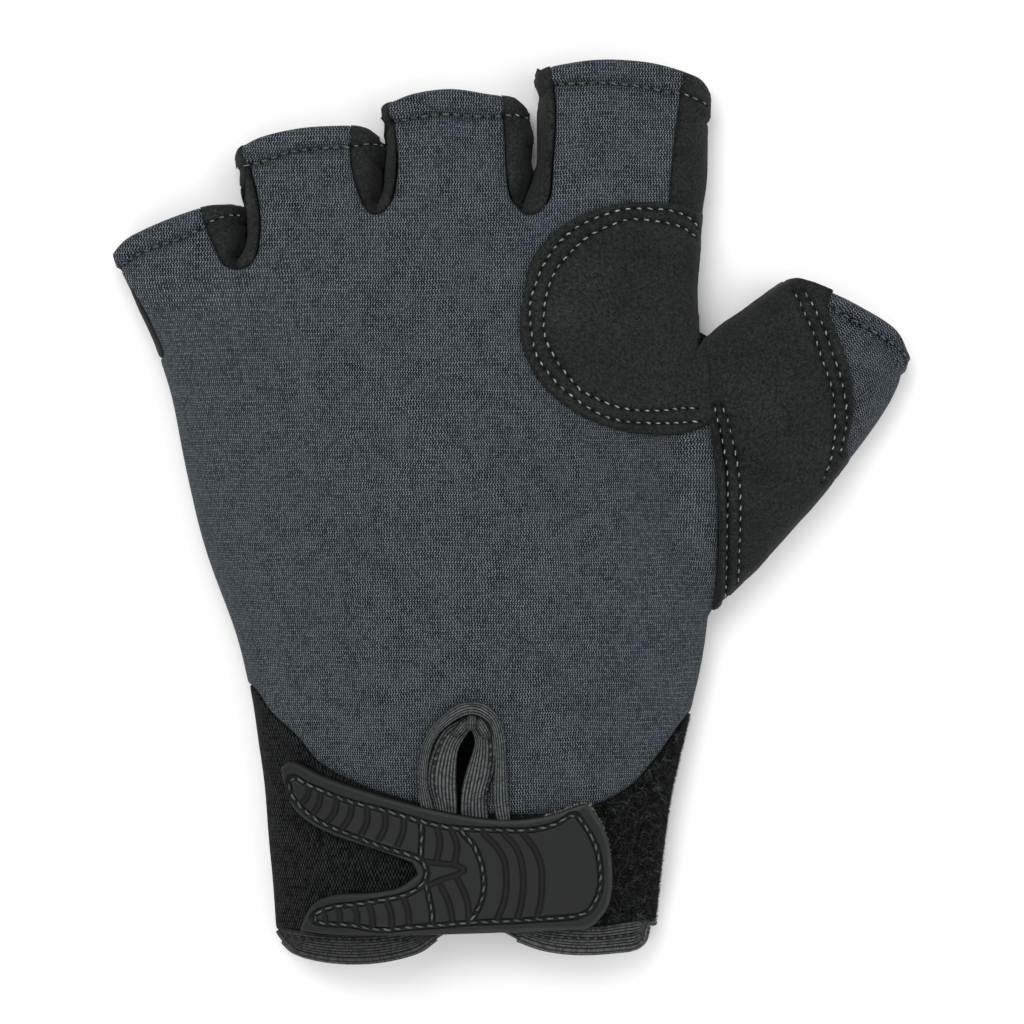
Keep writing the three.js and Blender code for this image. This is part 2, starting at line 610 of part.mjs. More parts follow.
addPiece("back_panel", backPanel(), GREY_KNIT);
addPiece("palm_panel", palmPanel(), BLACK_SUEDE);
addPiece("fourchette_little_ring", gusset(GUSSET_LITTLE_RING), BLACK_SUEDE);
addPiece("fourchette_ring_middle", gusset(GUSSET_RING_MIDDLE), BLACK_SUEDE);
addPiece("fourchette_middle_index", gusset(GUSSET_MIDDLE_INDEX), BLACK_SUEDE);
addPiece("index_side_panel", gusset(INDEX_SIDE), BLACK_SUEDE);
addPiece("knuckle_patch", patch(KNUCKLE_PATCH), BLACK_SUEDE);
addPiece("thumb_stall", thumbStall(), GREY_KNIT);
addPiece("thumb_patch", patch(THUMB_PATCH), BLACK_SUEDE);
addPiece("cuff_knit", cuffWall().subtract(loopGrown), BLACK_KNIT);
addPiece("cuff_loop", cuffWall().intersect(loopRegion), LOOP_FABRIC);
addPiece("wrist_binding", wristBinding(), ELASTIC);
addPiece("slit_tape_left", slitTape(TAPE_LEFT_PLAN), ELASTIC);
addPiece("slit_tape_right", slitTape(TAPE_RIGHT_PLAN), ELASTIC);
addPiece("keyhole_arch", keyholeArch(), ELASTIC);
addPiece("strap", strap(), RUBBER);
addPiece("strap_hook_tab", hookTab(), LOOP_FABRIC);

export default glove;
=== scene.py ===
"""Half-finger paddling glove, laid palm down: its cloth, suede, elastic, moulded strap and every stitch.

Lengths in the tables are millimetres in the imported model's frame: +X to the thumb, +Y to the fingers.
"""

import math

import bpy
import numpy as np
from mathutils.geometry import delaunay_2d_cdt
from mathutils.kdtree import KDTree
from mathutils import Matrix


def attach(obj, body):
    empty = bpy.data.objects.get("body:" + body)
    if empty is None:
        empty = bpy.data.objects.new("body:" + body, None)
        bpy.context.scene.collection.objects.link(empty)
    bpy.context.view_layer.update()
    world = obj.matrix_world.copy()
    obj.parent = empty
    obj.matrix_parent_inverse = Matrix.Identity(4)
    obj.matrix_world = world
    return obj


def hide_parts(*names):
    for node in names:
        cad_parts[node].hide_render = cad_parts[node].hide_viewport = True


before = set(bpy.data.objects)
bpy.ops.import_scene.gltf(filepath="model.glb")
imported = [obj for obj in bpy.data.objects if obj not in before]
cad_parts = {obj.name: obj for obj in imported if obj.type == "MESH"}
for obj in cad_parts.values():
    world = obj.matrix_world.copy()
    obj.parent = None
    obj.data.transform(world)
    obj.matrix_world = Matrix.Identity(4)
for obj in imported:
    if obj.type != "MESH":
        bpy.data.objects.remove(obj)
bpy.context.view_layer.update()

bl_info = {
    "name": "Half-finger paddling glove",
    "version": (1, 0, 0),
    "blender": (4, 5, 0),
    "location": "View3D > Sidebar > Glove",
    "description": "Builds the visual model of a half-finger paddling glove on its packed frame",
    "category": "Object",
}

MM = 0.001
TINY = 1e-9

# The glove's form: sections that stand upright, each (leftX, leftY, rightX, rightY, height)
WIDEST = 7.0  # height of the widest line of every section
FULLNESS = 2.25  # 2 is an ellipse, more is squarer
EDGE_RADIUS = 8.0  # round underside edge, seen across
SEAM_HEIGHT = 4.6  # the back and the palm meet here, round the edge
TIP_SHRINK = 0.9935  # the tips lie above the widest line, so the camera sees them further out

BODY = (
    (-47.2, -94.0, 28.8, -94.0, 20.0), (-47.2, -82.6, 28.8, -82.6, 20.5), (-48.3, -68.6, 30.2, -68.6, 21.0),
    (-49.2, -57.6, 31.7, -57.6, 21.5), (-50.4, -47.6, 33.9, -47.6, 22.5), (-52.0, -37.6, 36.3, -37.6, 23.5),
    (-54.8, -25.6, 38.6, -25.6, 25.5), (-60.5, -9.6, 40.0, -9.6, 27.5), (-64.7, 6.4, 38.8, 6.4, 28.0),
    (-67.9, 22.4, 37.8, 22.4, 26.5), (-71.6, 33.8, 37.4, 34.6, 24.2), (-75.2, 41.6, 36.9, 46.4, 21.6),
    (-77.8, 48.0, 37.8, 58.0, 19.0), (-81.0, 60.0, 38.6, 74.0, 16.6),
)
LITTLE = (
    (-70.0, 33.0, -48.0, 37.0, 18.0), (-74.6, 41.2, -49.4, 50.2, 17.4), (-78.0, 47.6, -53.4, 56.6, 16.2),
    (-79.4, 51.4, -53.8, 61.2, 15.2), (-80.8, 56.0, -55.6, 66.4, 14.4),
)
RING = (
    (-51.0, 38.0, -26.6, 41.4, 20.0), (-55.2, 50.0, -25.4, 55.0, 19.2), (-52.8, 57.6, -25.2, 61.2, 17.6),
    (-54.0, 64.8, -26.0, 68.4, 16.4), (-55.4, 70.6, -26.0, 74.0, 15.6), (-56.4, 76.4, -26.0, 79.6, 15.0),
)
MIDDLE = (
    (-25.6, 42.0, 3.0, 43.6, 20.6), (-26.6, 57.6, 4.2, 59.0, 19.4), (-26.0, 63.4, 3.6, 64.6, 18.0),
    (-25.0, 72.4, 3.9, 72.4, 16.8), (-26.0, 79.8, 3.6, 79.4, 16.0), (-26.6, 86.0, 3.6, 85.0, 15.4),
)
INDEX = (
    (4.0, 42.0, 36.4, 42.0, 20.0), (2.2, 59.8, 38.0, 59.0, 18.8), (4.6, 66.6, 39.0, 66.4, 18.0),
    (5.1, 77.0, 39.2, 75.4, 17.0), (4.8, 86.2, 39.4, 82.6, 16.2), (4.6, 92.4, 39.8, 88.0, 15.6),
)
THUMB = (
    (12.0, 12.0, 30.0, -27.0, 19.0), (28.6, 24.8, 42.8, -17.2, 19.6), (38.2, 34.2, 54.6, -4.6, 20.0),
    (45.1, 39.6, 65.4, 7.8, 19.0), (52.0, 44.3, 75.6, 22.0, 17.6), (57.0, 47.6, 79.8, 32.0, 16.4),
    (62.4, 53.6, 83.6, 38.4, 15.6),
)
KNUCKLE_LINE = (
    (-90, 44), (-72, 46), (-54.5, 49.3), (-42, 55), (-27, 60.5), (-12, 61.4), (2.5, 60.9), (16, 62),
    (48, 66),
)
CROTCH = 1.7  # the body rounds off this far past the knuckle line
BLENDS = (1.6, 1.6, 1.6, 1.6, 3.2)  # how softly each stall's top joins the body's
GONE = 99.0  # how far out a point counts as being where a tube isn't there at all

# Where each stall ends, seen from above, left to right
LITTLE_TIP = (
    (-82, 51.2), (-79.8, 53), (-77.8, 54.7), (-74, 56.6), (-66.4, 59.7), (-60.4, 61.5), (-56.4, 61.9),
    (-50, 61.4),
)
RING_TIP = (
    (-57.5, 69.8), (-56, 70.8), (-55.5, 72.1), (-54.8, 73.1), (-53.4, 74), (-50.4, 75.2), (-42.4, 76.9),
    (-35, 77.4), (-30.4, 77.4), (-28.4, 77), (-26.8, 75.7), (-25.6, 74.2), (-22, 70),
)
MIDDLE_TIP = (
    (-28.4, 79.6), (-26.7, 80.6), (-26.2, 81.5), (-25.2, 82.1), (-24, 82.5), (-20.4, 83.7), (-12.4, 84.7),
    (-4.4, 83.7), (0.6, 83), (2.6, 81.8), (3.5, 80.6), (5, 77),
)
INDEX_TIP = (
    (3.2, 86.4), (4.4, 87.4), (4.9, 88.5), (5.7, 89), (6.8, 89.2), (9.6, 89.7), (17.6, 90.6), (27.6, 90),
    (35, 88.2), (38.3, 86.9), (39.9, 85), (41, 82),
)
THUMB_TIP = ((52, 47.6), (57.2, 46.2), (62, 44.9), (69.6, 41.2), (77.6, 36), (80, 32), (86, 24))

# Plan outlines of the cuff
CUFF_EDGE_LEFT = (
    (-60, -80), (-50, -82), (-46.6, -86), (-44, -88.6), (-37.4, -90.2), (-27.4, -90.2), (-18.4, -88),
    (-15, -85.6),
)
CUFF_EDGE_NOTCH = ((-13, -84.4), (-1.6, -84.4))
CUFF_EDGE_RIGHT = (
    (1, -85.8), (6, -87.6), (13, -88.6), (21, -88.4), (25, -87.9), (27, -86.2), (28, -83), (33, -80),
)
BINDING_LINE_LEFT = (
    (-60, -82.2), (-56, -82.4), (-42.4, -84), (-32.4, -84.4), (-20, -83), (-13.6, -79.4), (-1.6, -79.4),
)
BINDING_LINE_RIGHT = ((5, -82), (17, -82.8), (24, -82), (45, -81))
HEEL_LINE = (
    (-58, -32), (-52, -35), (-48.4, -40), (-43, -45), (-38.6, -50.2), (-31.4, -54.2), (-20, -58),
    (-5, -60.4), (8, -60.4), (16, -58.8), (23.6, -55), (29.6, -48.4), (35.6, -40.4), (42, -34),
)
SLIT_LEFT = (
    (-8.2, -43.2), (-10.6, -47.2), (-11.2, -53), (-11, -59.2), (-11.4, -67.6), (-13.4, -77.6), (-15.4, -88),
)
SLIT_RIGHT = (
    (-8.2, -43.2), (-7.4, -46), (-9, -51.6), (-10, -55.6), (-10.2, -60.8), (-8.8, -67.6), (-5.6, -77.6),
    (-1, -88),
)
TAPE_LEFT_EDGE = (
    (-8.2, -40.8), (-13.4, -43.2), (-16.4, -49.2), (-17, -53.8), (-15.6, -59.2), (-16, -67.6), (-18, -80),
)
TAPE_RIGHT_EDGE = (
    (-8.2, -40.8), (-5, -41.8), (-3.4, -45.4), (-3.4, -51), (-4.8, -56), (-4.6, -62), (-2.6, -72),
    (0.6, -80),
)
ARCH_OUTER = (
    (-16.8, -65), (-18.4, -58.6), (-18.8, -52), (-17.4, -45), (-14.2, -41), (-10.6, -38.4),
    (-6.8, -38), (-3.4, -40), (-1.6, -44), (-1, -51.6), (-0.6, -58), (0.2, -65),
)
ARCH_INNER = (
    (-14.4, -65), (-15.8, -59), (-17, -53.6), (-15.6, -46), (-12.4, -42.4), (-8, -40.5), (-4.4, -42.6),
    (-3.4, -48.6), (-3.6, -59), (-2, -65),
)

# Plan outlines of the panels
GUSSET_LITTLE_RING = (
    ((-62.6, 64),),
    (
        (-62.4, 60.8), (-61.6, 58), (-60, 54.4), (-57.6, 49.6), (-55, 48.6), (-52, 50), (-50.6, 55.4),
        (-51, 62.6), (-54, 73),
    ),
    ((-55, 77),),
)
GUSSET_RING_MIDDLE = (
    ((-32.6, 80),),
    (
        (-32.2, 77), (-32.2, 70.4), (-30.6, 64), (-28.4, 59.8), (-26, 60), (-24.4, 62), (-23.2, 69),
        (-23.6, 75.6), (-24.8, 82),
    ),
    ((-25, 87),),
)
GUSSET_MIDDLE_INDEX = (
    ((-3, 86),),
    (
        (-2, 83), (-1.4, 76.4), (-1, 68.4), (0, 62.8), (2.4, 59.8), (5, 59.8), (7.2, 62.6), (8, 70),
        (8.6, 80), (7.8, 88.4),
    ),
    ((7, 93), (1, 92)),
)
INDEX_SIDE = (
    ((33.4, 94), (34, 86.4), (33, 77.4), (32.2, 70.4), (31.5, 61.8), (31, 54.8)),
    ((50, 54.8), (50, 94)),
)
THUMB_SEAM = (
    (36.4, 38), (38.2, 33.4), (39.4, 25), (40, 17.6), (41.2, 6), (41.4, -8), (40.8, -20), (39.6, -34),
)
PALM_SLIVER = (
    ((-95, 30),),
    ((-76, 32), (-69.8, 30.8), (-71.8, 36.8), (-74.8, 42.2), (-77.6, 46.2), (-80, 49), (-88, 52)),
    ((-95, 60),),
)
KNUCKLE_PATCH = (
    ((44, 61), (38, 59.8), (33.6, 61.4), (24, 62), (15.6, 60.2), (9.6, 57), (4, 50.8), (2.2, 43), (1.6, 37),
     (3.2, 30.6), (7.6, 24.2), (14.6, 19.2), (23.6, 16.2), (32.6, 15.6), (38.4, 17.4)),
    ((40.2, 18.6), (40.1, 24), (39.4, 30), (38.6, 34.6), (44, 42)),
)
THUMB_PATCH = (
    ((36.8, 38), (38.4, 33), (39.3, 25), (39.6, 17), (41, 7), (41.6, -8), (41.2, -17), (40.8, -20.4)),
    ((42.2, -20.9), (43.4, -18), (45.6, -17.2)),
    ((56, -22), (70, 8), (67.4, 12), (68.6, 20), (67.4, 29.4), (64.4, 37.4), (62.9, 41.4)),
    ((63, 42), (65.6, 47.5)),
    ((60, 56), (44, 50)),
)

# Plan outlines of the strap
STRAP_TOP_EDGE = (
    (-46.4, -51.2), (-44.6, -50), (-38.4, -52.8), (-30.4, -55.6), (-18.4, -59), (-6.4, -61.3), (1.6, -61.6),
    (8.6, -60.4), (12.6, -59), (14.8, -58.4), (17, -60.8), (19.2, -65.2), (20.2, -73.6), (19.2, -79.2),
    (16.6, -82.6),
)
STRAP_LOWER_EDGE = ((14.6, -83.6), (3.6, -84), (-8.4, -84.4), (-24.4, -84.8), (-36, -84.6), (-42.6, -83.8))
STRAP_FORK_LOWER = (
    (-42.2, -82.6), (-40.2, -78.8), (-36.4, -76.8), (-27.4, -76.1), (-22.4, -75), (-18.8, -72.4),
)
STRAP_FORK_UPPER = (
    (-20, -70.2), (-26.4, -67.8), (-35.4, -64.8), (-40.8, -62), (-44.4, -58.4), (-46, -53.6),
)
HOOK_TAB = (
    (6, -61.6), (14, -58.6), (17.6, -60.2), (20.2, -66), (20.6, -74), (19.6, -79), (16, -82.4), (6, -82.8),
)

# The camera looks straight down from CAMERA_RISE above the widest line, on a square picture
PICTURE = 1024  # pixels a side
PIXEL = 0.2  # millimetres at the height of the widest line
LENS = 200.0
SENSOR = 36.0
CAMERA_RISE = PICTURE * PIXEL * LENS / SENSOR

# Stitch rows, traced in pixels of that picture
HEM_STITCHES = (
    (
        (122, 265), (135, 256), (155, 247), (180, 239), (198, 230), (210, 222), (220, 218.5), (230, 216),
        (240, 217),
    ),
    (
        (244, 166), (262, 162), (270, 159.5), (280, 155), (293, 151.5), (315, 149), (335, 147.5),
        (350, 147), (360, 145), (370, 144.5), (381, 146),
    ),
    (
        (392, 121.5), (400, 121), (415, 118), (435, 115), (445, 114), (465, 116), (485, 116.5), (503, 116),
        (512, 114.5), (522, 118), (527, 119),
    ),
    (
        (556, 84), (580, 83.5), (600, 83), (625, 84.5), (640, 86.5), (650, 88), (662, 91.5), (680, 93.5),
        (690, 96), (697, 99), (705, 106),
    ),
    (
        (833, 308), (850, 319), (858, 323), (870, 330), (880, 336), (889, 342), (898, 349), (904, 356),
        (905, 363),
    ),
)
KNUCKLE_STITCHES_OUTER = (
    (700, 228), (694, 221), (688, 216), (680, 213), (670, 210), (650, 208.5), (630, 208.5), (620, 209.5),
    (610, 213), (600, 216), (588, 221), (578, 226), (570, 232), (562, 239), (555, 247), (549, 256),
    (543, 265), (539, 275), (535, 286), (531, 297), (530, 308), (530, 317), (531, 328), (533, 340),
    (535, 351), (539, 360), (545, 368), (553, 378), (560, 386), (570, 394), (580, 402), (588, 407),
    (600, 414), (610, 418), (630, 422), (655, 423), (680, 422.5), (700, 421),
)
KNUCKLE_STITCHES_INNER = (
    (698, 238), (692, 233), (685, 228), (673, 224), (660, 221.5), (640, 219), (632, 218.5), (625, 220),
    (615, 223), (605, 228), (595, 232), (583, 240), (575, 248), (567, 256), (559, 265), (553, 275),
    (549, 286), (546, 297), (544, 309), (544, 321), (544, 332), (547, 343), (554, 355), (560, 366),
    (568, 375), (575, 384), (585, 393), (595, 397), (605, 402), (615, 406), (635, 410), (660, 410.5),
    (680, 408), (697, 408),
)
THUMB_STITCHES = (
    (
        (714, 404), (717, 418), (721, 433), (723, 444), (725, 454), (727, 465), (728, 487), (728, 508),
        (727, 530), (727, 560), (726, 600),
    ),
    (
        (721, 405), (727, 417), (730, 429), (732, 439), (735, 450), (737, 461), (739, 474), (740, 485),
        (741, 508), (740, 545), (739, 585),
    ),
    (
        (803, 290), (810, 299), (814, 307), (818, 315), (822, 323), (826, 331), (831, 349), (834, 357),
        (838, 367), (841, 376), (843, 386), (845, 396), (847, 407), (847, 425), (845, 435), (841, 455),
    ),
    (
        (793, 291), (800, 301), (803, 310), (807, 317), (811, 326), (815, 336), (818, 346), (824, 364),
        (828, 374), (831, 384), (834, 396), (835, 418), (836, 430), (833, 452), (831, 463), (822, 483),
    ),
)
STRAP_STITCHES = (
    (289, 782), (290, 778), (295, 777), (306, 784), (316, 788), (325, 792), (345, 800), (370, 806.5),
    (395, 813.5), (420, 821), (445, 827), (470, 829), (500, 830), (530, 830), (550, 826), (560, 822),
    (570, 815), (575, 814), (580, 819), (585, 826), (590, 834), (597, 850), (600, 868), (600, 888),
    (595, 902), (590, 910), (584, 914), (575, 916.5), (545, 919), (515, 921), (475, 922.5), (445, 925),
    (415, 927), (380, 930), (350, 925), (320, 923), (312, 919), (318, 912), (325, 909), (337, 906),
    (358, 904), (382, 900), (405, 895), (420, 887), (425, 880), (427, 872), (423, 862), (413, 856),
    (390, 849.5), (366, 841), (343, 832), (322, 823), (305, 811), (295, 800), (291, 795),
)
STRAP_CROSS_UPPER = ((420, 822), (422, 830), (421, 848), (421, 857))
STRAP_CROSS_LOWER = ((425, 883), (428, 892), (430, 902), (432, 912), (432, 922))
STRAP_CURVED_STITCHES = (
    (460, 829), (467, 838), (473, 844), (477, 852), (481, 862), (483, 873), (484, 884), (483, 895),
    (480, 905), (476, 913), (470, 922),
)
# Grooves between the raised pads of the strap
STRAP_GROOVES = (
    ((309, 786), (308, 796), (301, 804)), ((321, 791), (319, 805), (312, 815)),
    ((337, 798), (335, 812), (327, 822)), ((352, 803), (350, 817), (341, 830)),
    ((367, 807), (367, 822), (360, 837)), ((385, 812), (385, 827), (377, 843)),
    ((404, 818), (403, 832), (396, 849)), ((322, 911), (325, 916), (325, 922)),
    ((337, 907), (340, 914), (340, 922)), ((353, 905), (357, 914), (357, 924)),
    ((368, 903), (372, 914), (373, 926)), ((386, 900), (391, 913), (392, 928)),
    ((403, 896), (408, 911), (409, 927)), ((437, 827), (440, 843), (437, 860)),
    ((452, 831), (457, 846), (455, 862)),
    ((425, 861.5), (442, 863.5), (457, 865.5), (464, 870), (457, 874.5), (442, 879.5), (429, 885)),
    ((441, 886), (449, 903), (453, 923)), ((458, 880), (467, 900), (469, 922)),
    ((484, 834), (496, 846), (504, 860), (506, 872), (506, 890), (503, 905), (497, 919)),
    ((504, 834), (515, 846), (521, 860), (523, 875), (523, 890), (521, 905), (517, 919)),
    ((523, 834), (534, 848), (540, 862), (542, 878), (541.5, 893), (540, 906), (536.5, 918)),
)
ARCH_STITCHES_LEFT = ((452, 730), (441, 742), (436, 756), (434, 771), (435, 786), (437, 800))
ARCH_STITCHES_RIGHT = ((489, 738), (490.5, 758), (490, 775), (486.5, 790), (484.5, 806))
BINDING_STITCHES = (
    ((279, 931), (290, 936), (310, 939), (340, 940), (380, 941), (410, 941)),
    ((535, 937), (560, 938), (590, 939), (620, 936), (640, 933), (650, 932)),
)


# Where neighbouring stalls meet: the line of the fold, the free edges beside it, and the fold's depth
GUSSET_FOLDS = {
    "little_ring": (
        0,
        ((244, 204), (246, 222), (246, 240), (243, 252), (239, 259)),
        (
            None,
            (
                (232, 147), (233, 152), (234, 158), (236, 165), (239, 170), (239, 180), (241, 188),
                (243, 196), (244, 204),
            ),
        ),
        6.5,
    ),
    "ring_middle": (
        1,
        ((385, 147), (384.5, 156), (384, 166), (383, 185), (381, 195), (378, 203)),
        (
            None,
            (
                (379, 101), (380, 106), (381, 112), (382, 118), (386, 124), (385, 132), (384.5, 140),
                (385, 147),
            ),
        ),
        6.5,
    ),
    "middle_index": (
        2,
        ((533.5, 170), (532, 178), (529, 187), (526, 195), (523, 203)),
        (
            (
                (530, 98), (530, 115), (529, 122), (531, 130), (533, 138), (532, 155), (531.5, 162),
                (533.5, 170),
            ),
            (
                (534, 68), (535, 76), (536, 86), (539, 93), (538, 105), (537, 115), (537, 140), (537, 155),
                (536, 166), (533.5, 170),
            ),
        ),
        7.5,
    ),
}


# Gathers of tape over the top of the slit: their ends, width and rise
PLEATS = (
    (((454, 737), (468, 719)), 2.3, 1.25), (((471, 731), (472, 714)), 2.5, 1.5),
    (((489, 739), (477, 718)), 2.5, 1.3),
)


# Curves in the plan

def curve(points, per):
    """Centripetal curve through the points, with per samples between two of them."""
    p = np.asarray(points, float)
    if len(p) < 3:
        share = np.linspace(0, 1, per + 1)[:, None]
        return p[0] + (p[-1] - p[0]) * share
    p = np.vstack([2 * p[0] - p[1], p, 2 * p[-1] - p[-2]])
    made = []
    for i in range(1, len(p) - 2):
        a, b, c, d = p[i - 1:i + 3]
        knots = np.cumsum([0] + [max(np.linalg.norm(v), 1e-6) ** 0.5 for v in (b - a, c - b, d - c)])
        t = np.linspace(knots[1], knots[2], per, endpoint=False)[:, None]
        t0, t1, t2, t3 = knots
        ab = ((t1 - t) * a + (t - t0) * b) / (t1 - t0)
        bc = ((t2 - t) * b + (t - t1) * c) / (t2 - t1)
        cd = ((t3 - t) * c + (t - t2) * d) / (t3 - t2)
        abc = ((t2 - t) * ab + (t - t0) * bc) / (t2 - t0)
        bcd = ((t3 - t) * bc + (t - t1) * cd) / (t3 - t1)
        made.append(((t2 - t) * abc + (t - t1) * bcd) / (t2 - t1))
    return np.vstack(made + [p[-2][None]])


def unit(vectors):
    return vectors / np.maximum(np.linalg.norm(vectors, axis=1), TINY)[:, None]


def turned_left(vectors):
    return np.column_stack([-vectors[:, 1], vectors[:, 0]])


def length_along(line):
    """Length of the line up to each of its points."""
    return np.concatenate([[0], np.cumsum(np.linalg.norm(np.diff(line, axis=0), axis=1))])


def at_lengths(line, run, wanted):
    """Points of the line where run, its length at each of its points, has the wanted values."""
    return np.column_stack([np.interp(wanted, run, column) for column in line.T])


def even(line, count):
    """The line as that many points, evenly spaced."""
    run = length_along(line)
    return at_lengths(line, run, np.linspace(0, run[-1], count))


def spaced(line, step, closed=False):
    """The line with its points moved to be about step apart."""
    line = np.asarray(line, float)
    if closed:
        line = np.vstack([line, line[:1]])
    made = even(line, max(2, int(round(length_along(line)[-1] / step)) + 1))
    return made[:-1] if closed else made


def smooth(points, step=0.7):
    return spaced(curve(points, 8), step)


def outline(*parts, step=0.7):
    """A closed outline: each part is a smooth line, and straight lines join them."""
    made = [smooth(part, step) if len(part) > 2 else np.asarray(part, float) for part in parts]
    return spaced(np.vstack(made), step, closed=True)


def inside(points, polygon):
    """Which points lie in the closed polygon."""
    x, y = points[:, 0], points[:, 1]
    found = np.zeros(len(points), bool)
    ax, ay = polygon[-1]
    for bx, by in polygon:
        crosses = (by > y) != (ay > y)
        if crosses.any():
            at = (ax - bx) * (y - by) / ((ay - by) or 1e-12) + bx
            found ^= crosses & (x < at)
        ax, ay = bx, by
    return found


def distance(points, line, closed=False):
    """Distance of each point from the line."""
    line = np.asarray(line, float)
    if closed:
        line = np.vstack([line, line[:1]])
    a, b = line[:-1], line[1:]
    span = b - a
    length = np.maximum((span ** 2).sum(1), 1e-12)
    best = np.full(len(points), 1e9)
    for first in range(0, len(points), 4000):
        p = points[first:first + 4000]
        away = p[:, None, :] - a
        t = np.clip((away * span).sum(2) / length, 0, 1)
        gap = away - t[:, :, None] * span
        best[first:first + 4000] = np.sqrt((gap ** 2).sum(2).min(1))
    return best


def closest(points, lines, limit=50.0):
    """Distance of each point from the nearest of some (line, closed) pairs, up to a limit."""
    best = np.full(len(points), limit)
    for line, closed in lines:
        best = np.minimum(best, distance(points, line, closed))
    return best


def open_lines(lines):
    return [(line, False) for line in lines]


def box_of(plan, margin=1):
    return (*(plan.min(0) - margin), *(plan.max(0) + margin))


def bell(gap, width):
    """1 at no gap, falling to nothing past the width."""
    return np.exp(-(gap / width) ** 2)


def beyond(line):
    """A test of how far a point is past an open line that runs left to right."""
    line = np.asarray(line, float)
    along = line[-1] - line[0]
    along = along / np.linalg.norm(along)
    across = np.array([-along[1], along[0]])
    run = (line - line[0]) @ along
    rise = (line - line[0]) @ across

    def past(points):
        away = points - line[0]
        return away @ across - np.interp(away @ along, run, rise)

    return past


# The form

class Tube:
    """A body or stall: stations across it, its arch, and how far a plan point is outside it."""

    def __init__(self, rows, tip=None, root=0.0):
        rows = np.asarray(rows, float)
        self.left = curve(rows[:, [0, 1]], 8)
        self.right = curve(rows[:, [2, 3]], 8)
        self.height = curve(np.column_stack([rows[:, 4], rows[:, 4] * 0]), 8)[:, 0]
        self.run = length_along((self.left + self.right) / 2)
        self.tip = None if tip is None else smooth(tip) * TIP_SHRINK
        self.past_tip = None if tip is None else beyond(self.tip)
        self.root = root

    def locate(self, points):
        """Off the middle, half width, height, length along, way across, and whether before the start."""
        across = self.right - self.left
        ahead = across[:, 0] * (points[:, 1, None] - self.left[:, 1])
        ahead = ahead - across[:, 1] * (points[:, 0, None] - self.left[:, 0])
        k = np.clip((ahead > 0).sum(1) - 1, 0, len(self.left) - 2)
        row = np.arange(len(points))
        a, b = ahead[row, k], ahead[row, k + 1]
        raw = a / np.where(np.abs(a - b) < TINY, TINY, a - b)
        t = np.clip(raw, 0, 1)[:, None]
        left = self.left[k] * (1 - t) + self.left[k + 1] * t
        right = self.right[k] * (1 - t) + self.right[k + 1] * t
        t = t[:, 0]
        height = self.height[k] * (1 - t) + self.height[k + 1] * t
        run = self.run[k] * (1 - t) + self.run[k + 1] * t
        way = right - left
        half = np.linalg.norm(way, axis=1) / 2
        way = way / (2 * half[:, None])
        off = ((points - (left + right) / 2) * way).sum(1)
        before = (k == 0) & (raw < 0)
        return off, half, height, run, way, before


def arch(share):
    return np.maximum(1 - np.minimum(np.abs(share), 1) ** FULLNESS, 0) ** (1 / FULLNESS)


def circle(x):
    """Height of a circle of radius 1 at a distance from its middle."""
    return np.sqrt(np.clip(1 - x ** 2, 0, 1))


def smoothstep(x):
    x = np.clip(x, 0, 1)
    return x * x * (3 - 2 * x)


past_knuckles = beyond(smooth(KNUCKLE_LINE))
CUFF_EDGE = np.vstack([smooth(CUFF_EDGE_LEFT), smooth(CUFF_EDGE_NOTCH), smooth(CUFF_EDGE_RIGHT)])
past_cuff = beyond(CUFF_EDGE)
body = Tube(BODY)
stalls = [
    Tube(LITTLE, LITTLE_TIP, 14), Tube(RING, RING_TIP, 14), Tube(MIDDLE, MIDDLE_TIP, 14),
    Tube(INDEX, INDEX_TIP, 14), Tube(THUMB, THUMB_TIP, 17),
]


